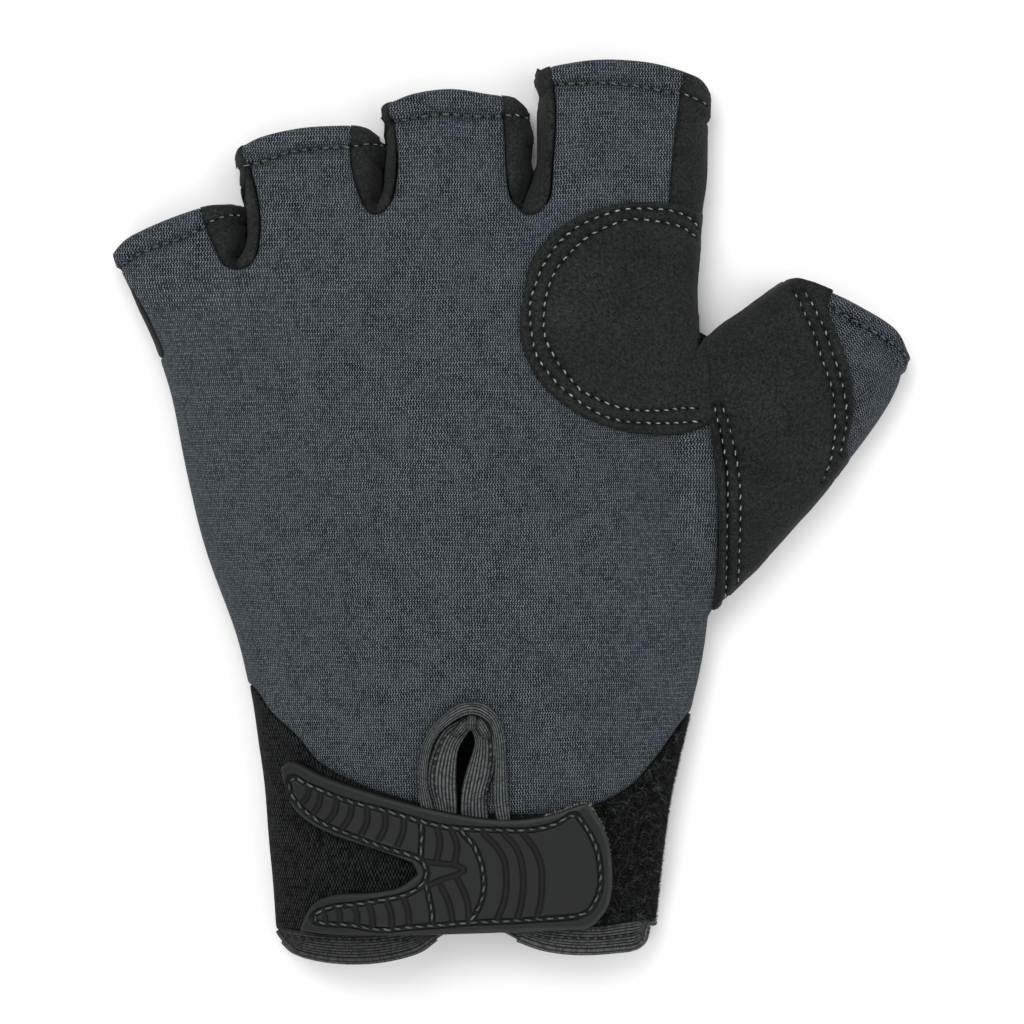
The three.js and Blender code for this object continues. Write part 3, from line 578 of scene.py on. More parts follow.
class Form:
    """What the form is at plan points: the height of its top, its underside, and the nearest way out."""

    def __init__(self, points):
        points = np.asarray(points, float)
        tops, unders, outs, ways, keys = [], [], [], [], []
        for tube in [body] + stalls:
            off, half, height, run, way, before = tube.locate(points)
            share = off / half
            out = np.abs(off) - half
            towards = way * np.sign(off)[:, None]
            edge = np.minimum(EDGE_RADIUS, 0.6 * half)
            top = WIDEST + (height - WIDEST) * arch(share)
            if tube is body:
                past = past_knuckles(points)
                cap = circle(np.maximum(past, 0) / CROTCH)
                top = WIDEST + (top - WIDEST) * cap
                swap = past - CROTCH > out
                out = np.maximum(out, past - CROTCH)
                towards = np.where(swap[:, None], np.array([0.0, 1.0]), towards)
            else:
                past = np.maximum(tube.past_tip(points), 0)
                fade = circle(np.maximum(past - 0.6, 0) / 2.4)
                grow = smoothstep(run / tube.root)
                top = WIDEST + (top - WIDEST) * (0.35 + 0.65 * grow) * fade
                out = np.where(before | (past > 6), GONE, out)
                top = np.where(out >= GONE, 0, top)
            depth = np.clip(-out, 0, None)
            under = WIDEST * (1 - circle(1 - np.minimum(depth / edge, 1)))
            tops.append(np.where(out > 0, WIDEST - out, top))
            unders.append(np.where(out > 0, WIDEST, under))
            outs.append(out)
            ways.append(towards)
            keys.append(out if tube is body else out + 3 * past)
        outs, tops = np.array(outs), np.array(tops)
        self.owner = np.array(keys).argmin(0)
        row = np.arange(len(points))
        self.out = outs[self.owner, row]
        self.towards = np.array(ways)[self.owner, row]
        self.under = np.array(unders).min(0)
        top = tops[0]
        for other, blend in zip(tops[1:], BLENDS):
            near = np.maximum(blend - np.abs(top - other), 0)
            top = np.maximum(top, other) + near * near / (4 * blend)
        past = past_knuckles(points)
        for i in (1, 2, 3):
            both = (outs[i] < 0) & (outs[i + 1] < 0) & (past > 0)
            dip = 3.4 * bell(tops[i] - tops[i + 1], 2.4) * smoothstep(past / 4)
            top = top - np.where(both, dip, 0)
        self.top = np.maximum(top, WIDEST)

    def upper(self, points):
        """The upper surface: past the widest line it turns down the side."""
        down = np.clip(self.out, 0, WIDEST)
        inset = EDGE_RADIUS * (1 - circle(down / WIDEST))
        move = np.where(self.out > 0, self.out + inset, 0)
        plan = points - self.towards * move[:, None]
        height = np.where(self.out > 0, WIDEST - down, self.top)
        return np.column_stack([plan, height])


def upper(points):
    points = np.asarray(points, float)
    return Form(points).upper(points)


def lower(points):
    points = np.asarray(points, float)
    return np.column_stack([points, Form(points).under])


def upward(points, side=upper, step=0.12):
    """The surface's normal at plan points."""
    right = side(points + [step, 0]) - side(points - [step, 0])
    ahead = side(points + [0, step]) - side(points - [0, step])
    normal = np.cross(right, ahead)
    normal[np.linalg.norm(normal, axis=1) < TINY] = (0, 0, 1)
    return unit(normal)


def seen(points, lift=0.0):
    """Plan points as the camera sees them, moved to where they lie on the surface raised by lift."""
    points = np.asarray(points, float)
    made = points.copy()
    for _ in range(4):
        place = upper(made) + upward(made) * lift
        shown = place[:, :2] * (CAMERA_RISE / (CAMERA_RISE - (place[:, 2] - WIDEST)))[:, None]
        step = points - shown
        size = np.maximum(np.linalg.norm(step, axis=1), TINY)[:, None]
        made = made + step * np.minimum(1, 0.6 / size)
    return made


def picture_plan(pixels):
    """Pixels of the picture in plan millimetres at the height of the widest line."""
    pixels = np.asarray(pixels, float)
    return np.column_stack([pixels[:, 0] - PICTURE / 2, PICTURE / 2 - pixels[:, 1]]) * PIXEL


def traced(pixels, lift=0.0):
    """A line traced in the picture, in plan millimetres on the surface raised by lift."""
    return seen(picture_plan(pixels), lift)


def plan_of(pixels, height):
    """A line traced in the picture, in plan millimetres at a height."""
    return picture_plan(pixels) * (1 - (height - WIDEST) / CAMERA_RISE)


def covered(points, reach):
    """Whether the form is under plan points, with its sides laid out to reach."""
    off, half, *_ = body.locate(points)
    part = (np.abs(off) - half < reach) & (past_knuckles(points) - CROTCH < reach)
    for stall in stalls:
        off, half, _, _, _, before = stall.locate(points)
        part |= (np.abs(off) - half < reach) & ~before & (stall.past_tip(points) < 0)
    return part & (Form(points).out < reach) & (past_cuff(points) > 0)


# Meshes

def add_object(name, vertices, faces, material, uv=None, tone=None):
    """A mesh object: vertices in millimetres, where its weave lies, and its tone at every vertex, which
    holds painted shade, painted highlights and random tone.
    """
    mesh = bpy.data.meshes.new(name)
    vertices = np.asarray(vertices, float) * MM
    mesh.from_pydata(vertices.tolist(), [], [tuple(int(i) for i in face) for face in faces])
    if uv is not None:
        layer = mesh.uv_layers.new(name="cloth")
        index = np.zeros(len(mesh.loops), int)
        mesh.loops.foreach_get("vertex_index", index)
        layer.data.foreach_set("uv", np.asarray(uv, float)[index].ravel())
    shade = mesh.color_attributes.new(name="tone", type="FLOAT_COLOR", domain="POINT")
    tone = np.ones(len(vertices)) if tone is None else tone
    shade.data.foreach_set("color", np.column_stack([tone, tone, tone, np.ones(len(tone))]).ravel())
    mesh.validate()
    mesh.polygons.foreach_set("use_smooth", [True] * len(mesh.polygons))
    mesh.update()
    mesh.materials.append(material)
    return place_object(name, mesh)


def place_object(name, data):
    made = bpy.data.objects.new(name, data)
    bpy.context.scene.collection.objects.link(made)
    return made


def dress(piece, slot, *nodes):
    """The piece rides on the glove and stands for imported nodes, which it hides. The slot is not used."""
    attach(piece, "root")
    if nodes:
        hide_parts(*nodes)
    return piece


def side_lines(reach):
    """Lines along the sides of every tube at several distances from its edge."""
    made = []
    if reach > 0:
        offsets = (-2.2, -1.3, -0.7, -0.3, -0.08, 0.0, reach * 0.35, reach * 0.7, reach)
    else:
        offsets = (reach - 7, reach - 5, reach - 3.2, reach - 1.9, reach - 1.0, reach - 0.4, reach)
    for tube in [body] + stalls:
        way = unit(tube.right - tube.left)
        for off in offsets:
            made.append((spaced(tube.left - way * off, 0.9), off == reach))
            made.append((spaced(tube.right + way * off, 0.9), off == reach))
    if reach > 0:
        edge = smooth(KNUCKLE_LINE)
        for off in (-0.6, -0.1, reach):
            made.append((edge + [0, CROTCH + off], off == reach))
    return made


def plan_mesh(keep, bounds, lines, spacing, reach, points=()):
    """Triangles over the plan: lines are kept as edges, and a face stays where keep says so."""
    x0, y0, x1, y1 = bounds
    grid = []
    for n, y in enumerate(np.arange(y0, y1, spacing * 0.866)):
        xs = np.arange(x0 + (spacing / 2 if n % 2 else 0), x1, spacing)
        grid.append(np.column_stack([xs, np.full(len(xs), y)]))
    grid = np.vstack(grid)
    fixed, edges, total = [], [], 0
    loose = [np.asarray(points, float).reshape(-1, 2)]

    def boxed(line):
        return (line > [x0 - 2, y0 - 2]).all(1) & (line < [x1 + 2, y1 + 2]).all(1)

    def fix(line, closed):
        nonlocal total
        near = boxed(line)
        for i in range(len(line) - (0 if closed else 1)):
            j = (i + 1) % len(line)
            if near[i] and near[j]:
                edges.append((total + i, total + j))
        fixed.append(line)
        total += len(line)

    for line, closed in lines:
        fix(line, closed)
        normal = turned_left(unit(np.roll(line, -1, 0) - np.roll(line, 1, 0)))
        inner = slice(None) if closed else slice(1, -1)
        for off in (0.28, 0.7):
            if spacing > off:
                loose += [line[inner] + normal[inner] * off, line[inner] - normal[inner] * off]
    for line, limit in side_lines(reach):
        if limit:
            fix(line, False)
        else:
            loose.append(line)
    fixed, loose = np.vstack(fixed), np.vstack(loose)
    loose = loose[boxed(loose)]
    loose = thinned(loose[nearest(loose, fixed) > 0.14], 0.16)
    strong = np.vstack([fixed, loose])
    grid = grid[nearest(grid, strong) > spacing * 0.55]
    made = delaunay_2d_cdt([tuple(p) for p in np.vstack([strong, grid])], edges, [], 0, 1e-5)
    flat = np.array([tuple(v) for v in made[0]])
    faces = np.array([f for f in made[2] if len(f) == 3])
    faces = faces[keep(flat[faces].mean(1))]
    a, b, c = (flat[faces[:, i]] for i in range(3))
    area = (b[:, 0] - a[:, 0]) * (c[:, 1] - a[:, 1]) - (c[:, 0] - a[:, 0]) * (b[:, 1] - a[:, 1])
    whole = np.abs(area) > 1e-5
    faces, area = faces[whole], area[whole]
    faces[area < 0] = faces[area < 0][:, ::-1]
    return compact(flat, faces)


def compact(points, faces):
    used = np.unique(faces)
    index = np.full(len(points), -1)
    index[used] = np.arange(len(used))
    return points[used], index[faces]


def nearest(points, others):
    """Distance from each point to the nearest of the others."""
    tree = KDTree(len(others))
    for i, (x, y) in enumerate(others):
        tree.insert((x, y, 0), i)
    tree.balance()
    return np.array([tree.find((x, y, 0))[2] for x, y in points])


def thinned(points, gap):
    """The points without those that share a small cell with an earlier one."""
    _, first = np.unique(np.floor(points / gap).astype(int), axis=0, return_index=True)
    return points[np.sort(first)]


def open_edges(faces):
    """Edges that only one face has, in that face's direction."""
    pairs = np.vstack([faces[:, [0, 1]], faces[:, [1, 2]], faces[:, [2, 0]]])
    key = np.sort(pairs, axis=1)
    _, index, count = np.unique(key, axis=0, return_index=True, return_counts=True)
    return pairs[index[count == 1]]


def vertex_normals(points, faces):
    a, b, c = (points[faces[:, i]] for i in range(3))
    normal = np.cross(b - a, c - a)
    total = np.zeros_like(points)
    for i in range(3):
        np.add.at(total, faces[:, i], normal)
    return unit(total)


def quads_of(index):
    """Quads between neighbouring rows and columns of a table of vertices."""
    return np.stack([index[:-1, :-1], index[1:, :-1], index[1:, 1:], index[:-1, 1:]], -1).reshape(-1, 4)


def halved(quads):
    return np.vstack([quads[:, [0, 1, 2]], quads[:, [0, 2, 3]]])


def walled(points, below, faces, uv, shade):
    """A sheet closed to a wall by the points below it, with its uv and shade on both sides."""
    a, b = open_edges(faces).T
    count = len(points)
    walls = np.vstack([np.column_stack([b, a, a + count]), np.column_stack([b, a + count, b + count])])
    solid = np.vstack([points, below]), np.vstack([faces, faces[:, ::-1] + count, walls])
    return (*solid, np.vstack([uv, uv]), np.concatenate([shade, shade]))


def cloth_uv(flat, points):
    """Where the weave lies, in millimetres: the plan, spread out where the cloth turns down the side."""
    off, _, height, *_ = body.locate(flat)
    drop = np.clip(height - points[:, 2], 0, None)
    spread = flat[:, 0] + np.tanh(off / 14) * drop * 0.75 * smoothstep(-past_knuckles(flat) / 12)
    return np.column_stack([spread, flat[:, 1]])


def press(gap, radius, depth):
    """How far an edge rolls down, at a distance from it."""
    return depth * (1 - circle(np.clip(1 - gap / radius, 0, 1)))


def waves(points, size, seed):
    """Slow unevenness of cloth, from -1 to 1."""
    draw = np.random.default_rng(seed)
    total = np.zeros(len(points))
    for _ in range(9):
        angle = draw.uniform(0, math.pi)
        length = size * draw.uniform(0.6, 1.7)
        phase = draw.uniform(0, 2 * math.pi)
        along = points[:, 0] * math.cos(angle) + points[:, 1] * math.sin(angle)
        total += np.sin(along * 2 * math.pi / length + phase)
    return total / 4.5


# Materials

class Graph:
    """Short ways to build a material's nodes."""

    def __init__(self, name, roughness=0.8, specular=0.3, sheen=0.0, sheen_roughness=0.4):
        self.material = bpy.data.materials.new(name)
        self.material.use_nodes = True
        self.tree = self.material.node_tree
        self.shader = self.tree.nodes["Principled BSDF"]
        self.shader.inputs["Roughness"].default_value = roughness
        self.shader.inputs["Specular IOR Level"].default_value = specular
        self.shader.inputs["Sheen Weight"].default_value = sheen
        self.shader.inputs["Sheen Roughness"].default_value = sheen_roughness
        self.coordinates = self.tree.nodes.new("ShaderNodeTexCoord")

    def node(self, kind, **settings):
        made = self.tree.nodes.new(kind)
        for name, value in settings.items():
            setattr(made, name, value)
        return made

    def link(self, value, socket):
        if isinstance(value, bpy.types.NodeSocket):
            self.tree.links.new(value, socket)
        elif hasattr(socket.default_value, "__len__") and not hasattr(value, "__len__"):
            socket.default_value = [value] * len(socket.default_value)
        else:
            socket.default_value = value

    def math(self, operation, a, b=0.0, c=0.0):
        made = self.node("ShaderNodeMath", operation=operation)
        for i, value in enumerate((a, b, c)):
            self.link(value, made.inputs[i])
        return made.outputs[0]

    def plus(self, a, b):
        return self.math("ADD", a, b)

    def minus(self, a, b):
        return self.math("SUBTRACT", a, b)

    def times(self, a, b):
        return self.math("MULTIPLY", a, b)

    def over(self, a, b):
        return self.math("DIVIDE", a, b)

    def floor(self, value):
        return self.math("FLOOR", value)

    def wave(self, turns):
        """Cosine of a number of turns."""
        return self.math("COSINE", self.times(turns, 2 * math.pi))

    def vector(self, operation, a, b):
        made = self.node("ShaderNodeVectorMath", operation=operation)
        self.link(a, made.inputs[0])
        self.link(b, made.inputs[1])
        return made.outputs[0]

    def parts(self, vector):
        made = self.node("ShaderNodeSeparateXYZ")
        self.link(vector, made.inputs[0])
        return made.outputs

    def join(self, x, y, z=0.0):
        made = self.node("ShaderNodeCombineXYZ")
        for i, value in enumerate((x, y, z)):
            self.link(value, made.inputs[i])
        return made.outputs[0]

    def millimetres(self):
        return self.vector("MULTIPLY", self.coordinates.outputs["Object"], (1000, 1000, 1000))

    def cloth(self):
        return self.node("ShaderNodeUVMap", uv_map="cloth").outputs[0]

    def noise(self, vector, scale, detail=2.0, roughness=0.5):
        made = self.node("ShaderNodeTexNoise")
        self.link(vector, made.inputs["Vector"])
        made.inputs["Scale"].default_value = scale
        made.inputs["Detail"].default_value = detail
        made.inputs["Roughness"].default_value = roughness
        return made.outputs["Fac"]

    def random(self, vector):
        made = self.node("ShaderNodeTexWhiteNoise", noise_dimensions="3D")
        self.link(vector, made.inputs["Vector"])
        return made.outputs["Value"]

    def between(self, value, low, high, new_low=0.0, new_high=1.0):
        made = self.node("ShaderNodeMapRange")
        for i, v in enumerate((value, low, high, new_low, new_high)):
            self.link(v, made.inputs[i])
        return made.outputs[0]

    def mix(self, share, a, b):
        made = self.node("ShaderNodeMix", data_type="RGBA")
        self.link(share, made.inputs["Factor"])
        self.link(colour(a), made.inputs["A"])
        self.link(colour(b), made.inputs["B"])
        return made.outputs["Result"]

    def finish(self, base, height, depth, roughness=None):
        """Base colour times the mesh's tone, which holds painted shade in pits, grooves and folds, painted
        highlights and random tone, with a bump of depth millimetres.
        """
        tone = self.node("ShaderNodeVertexColor", layer_name="tone").outputs["Color"]
        made = self.node("ShaderNodeMix", data_type="RGBA", blend_type="MULTIPLY")
        made.inputs["Factor"].default_value = 1.0
        self.link(base, made.inputs["A"])
        self.link(tone, made.inputs["B"])
        self.link(made.outputs["Result"], self.shader.inputs["Base Color"])
        if roughness is not None:
            self.link(roughness, self.shader.inputs["Roughness"])
        bump = self.node("ShaderNodeBump")
        bump.inputs["Strength"].default_value = 1.0
        bump.inputs["Distance"].default_value = depth * MM
        self.link(height, bump.inputs["Height"])
        self.link(bump.outputs[0], self.shader.inputs["Normal"])
        return self.material


def colour(value):
    if isinstance(value, bpy.types.NodeSocket) or len(value) == 4:
        return value
    return (*value, 1.0)


def scaled(value, factor):
    return tuple(min(1.0, c * factor) for c in value)


def tinted(value, factors):
    return tuple(c * factor for c, factor in zip(value, factors))


def knit_material(name, shade, wale, course):
    """Fine knit of a neoprene face: zigzag columns of slanted stitches in heather yarn."""
    g = Graph(name, roughness=0.9, specular=0.04, sheen=0.04, sheen_roughness=0.5)
    cloth = g.cloth()
    x, y, _ = g.parts(cloth)
    drift = g.minus(g.noise(cloth, 0.09, 1), 0.5)
    fine_drift = g.minus(g.noise(cloth, 0.6, 1), 0.5)
    across = g.over(x, wale)
    across = g.plus(across, g.times(drift, 2.3))
    across = g.plus(across, g.times(fine_drift, 0.3))
    along = g.over(y, course)
    along = g.plus(along, g.times(drift, 1.3))
    along = g.plus(along, g.times(fine_drift, 0.3))
    row = g.floor(g.times(along, 2.0))
    across = g.plus(across, g.times(g.random(g.join(row, 3.7)), 0.3))
    zigzag = g.times(g.math("PINGPONG", along, 0.5), 2.0)
    phase = g.plus(across, g.times(zigzag, 0.62))
    strand = g.math("MULTIPLY_ADD", g.wave(phase), 0.5, 0.5)
    stitch = g.join(g.floor(g.plus(phase, 0.5)), row)
    chance = g.random(stitch)
    other = g.random(g.vector("ADD", stitch, (31.7, 12.3, 5.1)))
    turn = g.math("ABSOLUTE", g.math("MULTIPLY_ADD", zigzag, 2.0, -1.0))
    turn = g.math("MULTIPLY_ADD", g.math("POWER", turn, 2.2), -0.95, 1.0)
    slant = g.math("GREATER_THAN", g.math("FRACT", along), 0.5)
    turn = g.times(turn, g.math("MULTIPLY_ADD", slant, 0.36, 0.8))
    lit = g.times(g.math("POWER", strand, 2.8), turn)
    lit = g.times(lit, g.between(chance, 0, 1, 0.38, 1.75))
    fuzz = g.between(g.noise(cloth, 0.2, 2), 0.35, 0.65, 0.0, 0.1)
    lit = g.plus(g.times(lit, g.minus(1.0, fuzz)), g.times(fuzz, 0.42))
    cool, warm = tinted(shade, (15.7, 16.3, 16.8)), tinted(shade, (17.7, 16.7, 15.2))
    yarn = g.mix(g.between(other, 0.15, 0.85), cool, warm)
    patch = g.between(g.noise(cloth, 0.04, 2), 0.3, 0.7, 0.93, 1.07)
    lit = g.times(lit, patch)
    base = g.mix(g.times(lit, 0.5), scaled(shade, 0.04), yarn)
    return g.finish(base, lit, 0.2, g.between(lit, 0, 1, 0.97, 0.8))


def suede_material(name, shade):
    """Microfibre suede: a short matt nap with pale fibre specks and brushed patches."""
    g = Graph(name, roughness=0.92, specular=0.06, sheen=0.04, sheen_roughness=0.5)
    place = g.millimetres()
    nap = g.noise(place, 1.5, 4, 0.75)
    grain = g.noise(place, 3.6, 2, 0.7)
    brushed = g.noise(place, 0.11, 3)
    lit = g.times(g.between(nap, 0.3, 0.7, 0.2, 1.8), g.between(grain, 0.3, 0.7, 0.4, 1.6))
    lit = g.times(lit, g.between(brushed, 0.3, 0.7, 0.8, 1.2))
    streak = g.noise(g.vector("MULTIPLY", place, (1.0, 2.2, 1.3)), 2.6, 1)
    speck = g.between(streak, 0.66, 0.76)
    base = g.mix(g.times(lit, 0.36), scaled(shade, 0.04), scaled(shade, 2.75))
    base = g.mix(g.times(speck, 0.55), base, scaled(shade, 4.5))
    rough = g.between(nap, 0.3, 0.7, 0.96, 0.85)
    return g.finish(base, g.plus(nap, g.times(grain, 0.6)), 0.22, rough)


def mesh_knit_material(name, shade, wale, course):
    """Black stretch knit: rows of small raised diamonds, every second row shifted."""
    g = Graph(name, roughness=0.85, specular=0.04, sheen=0.02, sheen_roughness=0.5)
    cloth = g.cloth()
    x, y, _ = g.parts(cloth)
    drift = g.minus(g.noise(cloth, 0.15, 2), 0.5)
    fine = g.minus(g.noise(cloth, 0.8, 2), 0.5)
    across = g.plus(g.over(x, wale), g.times(drift, 1.4))
    across = g.plus(across, g.times(fine, 0.5))
    along = g.plus(g.over(y, course), g.times(drift, 1.2))
    lean = g.times(along, 0.5)
    crossed = g.plus(g.wave(g.plus(across, lean)), g.wave(g.minus(across, lean)))
    dot = g.math("MULTIPLY_ADD", crossed, 0.25, 0.5)
    dot = g.math("POWER", dot, 2.4)
    cell = g.join(g.floor(across), g.floor(along))
    lit = g.times(dot, g.between(g.random(cell), 0, 1, 0.35, 1.6))
    base = g.mix(g.math("MINIMUM", lit, 1.0), scaled(shade, 0.03), scaled(shade, 5.6))
    return g.finish(base, dot, 0.22, g.between(dot, 0, 1, 0.95, 0.75))


def pile_material(name, shade):
    """Black loop fabric under its pile."""
    g = Graph(name, roughness=0.95, specular=0.03, sheen=0.02, sheen_roughness=0.5)
    place = g.millimetres()
    swirl = g.vector("MULTIPLY", g.join(g.noise(place, 1.1, 2), g.noise(place, 1.4, 2)), (2, 2, 0))
    curl = g.noise(g.vector("ADD", place, swirl), 1.7, 4, 0.75)
    lit = g.between(curl, 0.38, 0.7, 0.0, 1.0)
    base = g.mix(g.times(lit, lit), scaled(shade, 0.03), scaled(shade, 5.0))
    return g.finish(base, curl, 0.35)


def fibre_material(name, shade):
    """Fine matt fibre."""
    g = Graph(name, roughness=0.7, specular=0.08, sheen=0.02)
    place = g.millimetres()
    mottle = g.noise(place, 2.6, 2, 0.6)
    base = g.mix(g.between(mottle, 0.35, 0.65), scaled(shade, 0.55), scaled(shade, 1.45))
    return g.finish(base, mottle, 0.02)


def elastic_material(name, shade):
    """Ribbed elastic: cords along the band, wrapped by fine cross threads of mixed greys."""
    g = Graph(name, roughness=0.75, specular=0.15, sheen=0.06, sheen_roughness=0.4)
    cloth = g.cloth()
    x, y, _ = g.parts(cloth)
    pick = 0.33  # width of a cross thread
    wrap = g.wave(g.over(g.plus(x, g.times(y, 0.35)), pick))
    wrap = g.math("MULTIPLY_ADD", wrap, 0.5, 0.5)
    cord = g.floor(y)
    thread = g.random(g.join(g.floor(g.over(x, pick)), cord))
    line = g.random(g.join(cord, 3.0))
    # Painted shade: the valleys between the cords go almost black.
    valley = g.math("ABSOLUTE", g.minus(g.math("FRACT", y), 0.5))
    valley = g.between(valley, 0.1, 0.44, 1.0, 0.02)
    lit = g.times(g.math("MULTIPLY_ADD", wrap, 0.4, 0.6), g.between(thread, 0, 1, 0.45, 1.6))
    lit = g.times(lit, g.between(line, 0, 1, 0.75, 1.2))
    lit = g.times(lit, valley)
    hue = g.random(g.join(g.floor(g.over(x, pick * 1.7)), cord, 7.0))
    light = g.mix(hue, tinted(shade, (3.7, 3.95, 4.2)), tinted(shade, (4.2, 4.0, 3.8)))
    base = g.mix(g.math("MINIMUM", lit, 1.0), scaled(shade, 0.06), light)
    return g.finish(base, lit, 0.14, g.between(lit, 0, 1, 0.85, 0.6))


def rubber_material(name, shade):
    """Satin moulded rubber with a fine sparked texture and a little dust in random patches."""
    g = Graph(name, roughness=0.6, specular=0.16)
    place = g.millimetres()
    spark = g.noise(place, 5.5, 3, 0.7)
    smear = g.noise(place, 0.22, 3)
    dust = g.between(g.noise(place, 3.1, 2, 0.7), 0.62, 0.78, 0.0, 0.4)
    base = g.mix(g.between(smear, 0.3, 0.7), scaled(shade, 0.88), scaled(shade, 1.12))
    base = g.mix(dust, base, scaled(shade, 1.9))
    rough = g.plus(g.between(smear, 0.3, 0.7, 0.46, 0.6), g.between(spark, 0.3, 0.7, -0.05, 0.08))
    return g.finish(base, spark, 0.03, rough)


def thread_material(name, shade):
    """Bonded sewing thread with visible plies."""
    g = Graph(name, roughness=0.6, specular=0.25, sheen=0.05)
    place = g.millimetres()
    ply = g.noise(place, 5.0, 2)
    base = g.mix(g.between(ply, 0.3, 0.7), scaled(shade, 0.55), scaled(shade, 1.5))
    return g.finish(base, ply, 0.05, g.between(ply, 0.3, 0.7, 0.6, 0.4))


def floor_material(name, shade):
    g = Graph(name, roughness=0.75, specular=0.1)
    place = g.millimetres()
    mottle = g.noise(place, 0.01, 3)
    base = g.mix(g.between(mottle, 0.3, 0.7), scaled(shade, 0.995), scaled(shade, 1.0))
    return g.finish(base, g.noise(place, 1.0, 2), 0.01)


def linear(red, green, blue):
    """A display colour from 0 to 255 as a linear one."""
    made = []
    for value in (red, green, blue):
        value /= 255
        made.append(value / 12.92 if value <= 0.04045 else ((value + 0.055) / 1.055) ** 2.4)
    return tuple(made)


# Seams, shared by the panels, as the camera sees them

GUSSETS = {
    "little_ring": seen(outline(*GUSSET_LITTLE_RING, step=0.6)),
    "ring_middle": seen(outline(*GUSSET_RING_MIDDLE, step=0.6)),
    "middle_index": seen(outline(*GUSSET_MIDDLE_INDEX, step=0.6)),
}
INDEX_SIDE_PLAN = seen(outline(*INDEX_SIDE, step=0.8))
SLIVER_PLAN = outline(*PALM_SLIVER, step=0.8)
THUMB_LINE = seen(smooth(THUMB_SEAM))
THUMB_AROUND = ((60, -34), (100, 10), (100, 60), (60, 60), (45, 50))
THUMB_REGION = spaced(np.vstack([THUMB_LINE, THUMB_AROUND]), 0.8, True)
HEEL = seen(smooth(HEEL_LINE, 0.6))
past_heel = beyond(HEEL)
TAPE_LEFT = seen(smooth(TAPE_LEFT_EDGE, 0.5))
TAPE_RIGHT = seen(smooth(TAPE_RIGHT_EDGE, 0.5))
SLIT_LEFT_LINE = seen(smooth(SLIT_LEFT, 0.5))
SLIT_RIGHT_LINE = seen(smooth(SLIT_RIGHT, 0.5))
TAPES_PLAN = spaced(np.vstack([TAPE_LEFT, TAPE_RIGHT[::-1]]), 0.6, True)
BINDING_LINE = np.vstack([smooth(BINDING_LINE_LEFT), smooth(BINDING_LINE_RIGHT)])
past_binding = beyond(BINDING_LINE)
LOOP_EDGE_X = -9.0
TAPE_END_Y = -79  # the slit's tapes end here, in the binding
STRAP_PARTS = (STRAP_TOP_EDGE, STRAP_LOWER_EDGE, STRAP_FORK_LOWER, STRAP_FORK_UPPER)
STRAP_PLAN = seen(outline(*STRAP_PARTS, step=0.45), 3.4)
TIPS = [(stall.tip, False) for stall in stalls]
SIDE_REACH = WIDEST - SEAM_HEIGHT
UNDER_REACH = -0.49  # where the underside's round edge is as high as the seam
LOOP_REACH = 4.0
PATCH_REACH = 4.6
PATCH_LIFT = 1.5
HEM = 4.0  # depth of a turned hem
KNIT_PIT = 1.45  # size of the needle pits in knit
FOLD_RADIUS = 1.5  # of the elastic's fold round the cuff's edge
SLANT = -0.16  # of every stitch to its row
PLY_TURN = 0.75  # length of one twist of the thread
HEM_ROWS = [traced(row) for row in HEM_STITCHES]
KNUCKLE_ROWS = [traced(row, PATCH_LIFT) for row in (KNUCKLE_STITCHES_OUTER, KNUCKLE_STITCHES_INNER)]
THUMB_ROWS = [traced(row, PATCH_LIFT) for row in THUMB_STITCHES]


def hem_depth(points):
    """How far plan points are behind the nearest stall's end."""
    best = np.full(len(points), 50.0)
    owner = Form(points).owner
    for i, stall in enumerate(stalls):
        mine = owner == i + 1
        if mine.any():
            best[mine] = distance(points[mine], stall.tip)
    return best


def hem_relief(points, back=None):
    """A turned hem: proud near the stall's end, rolled over it, with a sewn groove behind."""
    back = hem_depth(points) if back is None else back
    rise = 0.5 * smoothstep(back / 0.9) * (1 - smoothstep((back - HEM + 0.9) / 0.8))
    return rise - 0.28 * bell(back - HEM, 0.5) - press(back, 1.1, 1.0)


def hem_tone(points, back=None):
    """Shade in the sewn groove behind a hem."""
    back = hem_depth(points) if back is None else back
    return 1 - 0.12 * bell(back - HEM, 0.4)


def pit_points(pits, size=1.0):
    """Points for the mesh at needle pits and in a ring round each."""
    if not len(pits):
        return np.zeros((0, 2))
    angles = np.linspace(0, 2 * math.pi, 7)[:-1]
    ring = np.column_stack([np.cos(angles), np.sin(angles)]) * 0.34 * size
    return np.vstack([pits] + [pits + move for move in ring])


def pit_relief(points, pits, size=1.0):
    if not len(pits):
        return np.zeros(len(points))
    return -0.5 * size * bell(nearest(points, pits), 0.32 * size)


# Painted shade in the needle pits.
def pit_tone(points, pits, size=1.0):
    if not len(pits):
        return np.ones(len(points))
    return 1 - 0.93 * np.exp(-(nearest(points, pits) / (0.34 * size)) ** 4)


def webbed(flat, faces, form):
    """Faces that would span the notch between two tubes, below their widest lines."""
    points = form.upper(flat)
    a, b, c = (faces[:, i] for i in range(3))
    grown = np.zeros(len(faces))
    for p, q in ((a, b), (b, c), (c, a)):
        real = np.linalg.norm(points[p] - points[q], axis=1)
        grown = np.maximum(grown, real - 1.3 * np.linalg.norm(flat[p] - flat[q], axis=1))
    owner = form.owner
    shared = (owner[a] != owner[b]) | (owner[b] != owner[c])
    return shared & (form.out[faces].max(1) > 0.3) & (grown > 0.9)


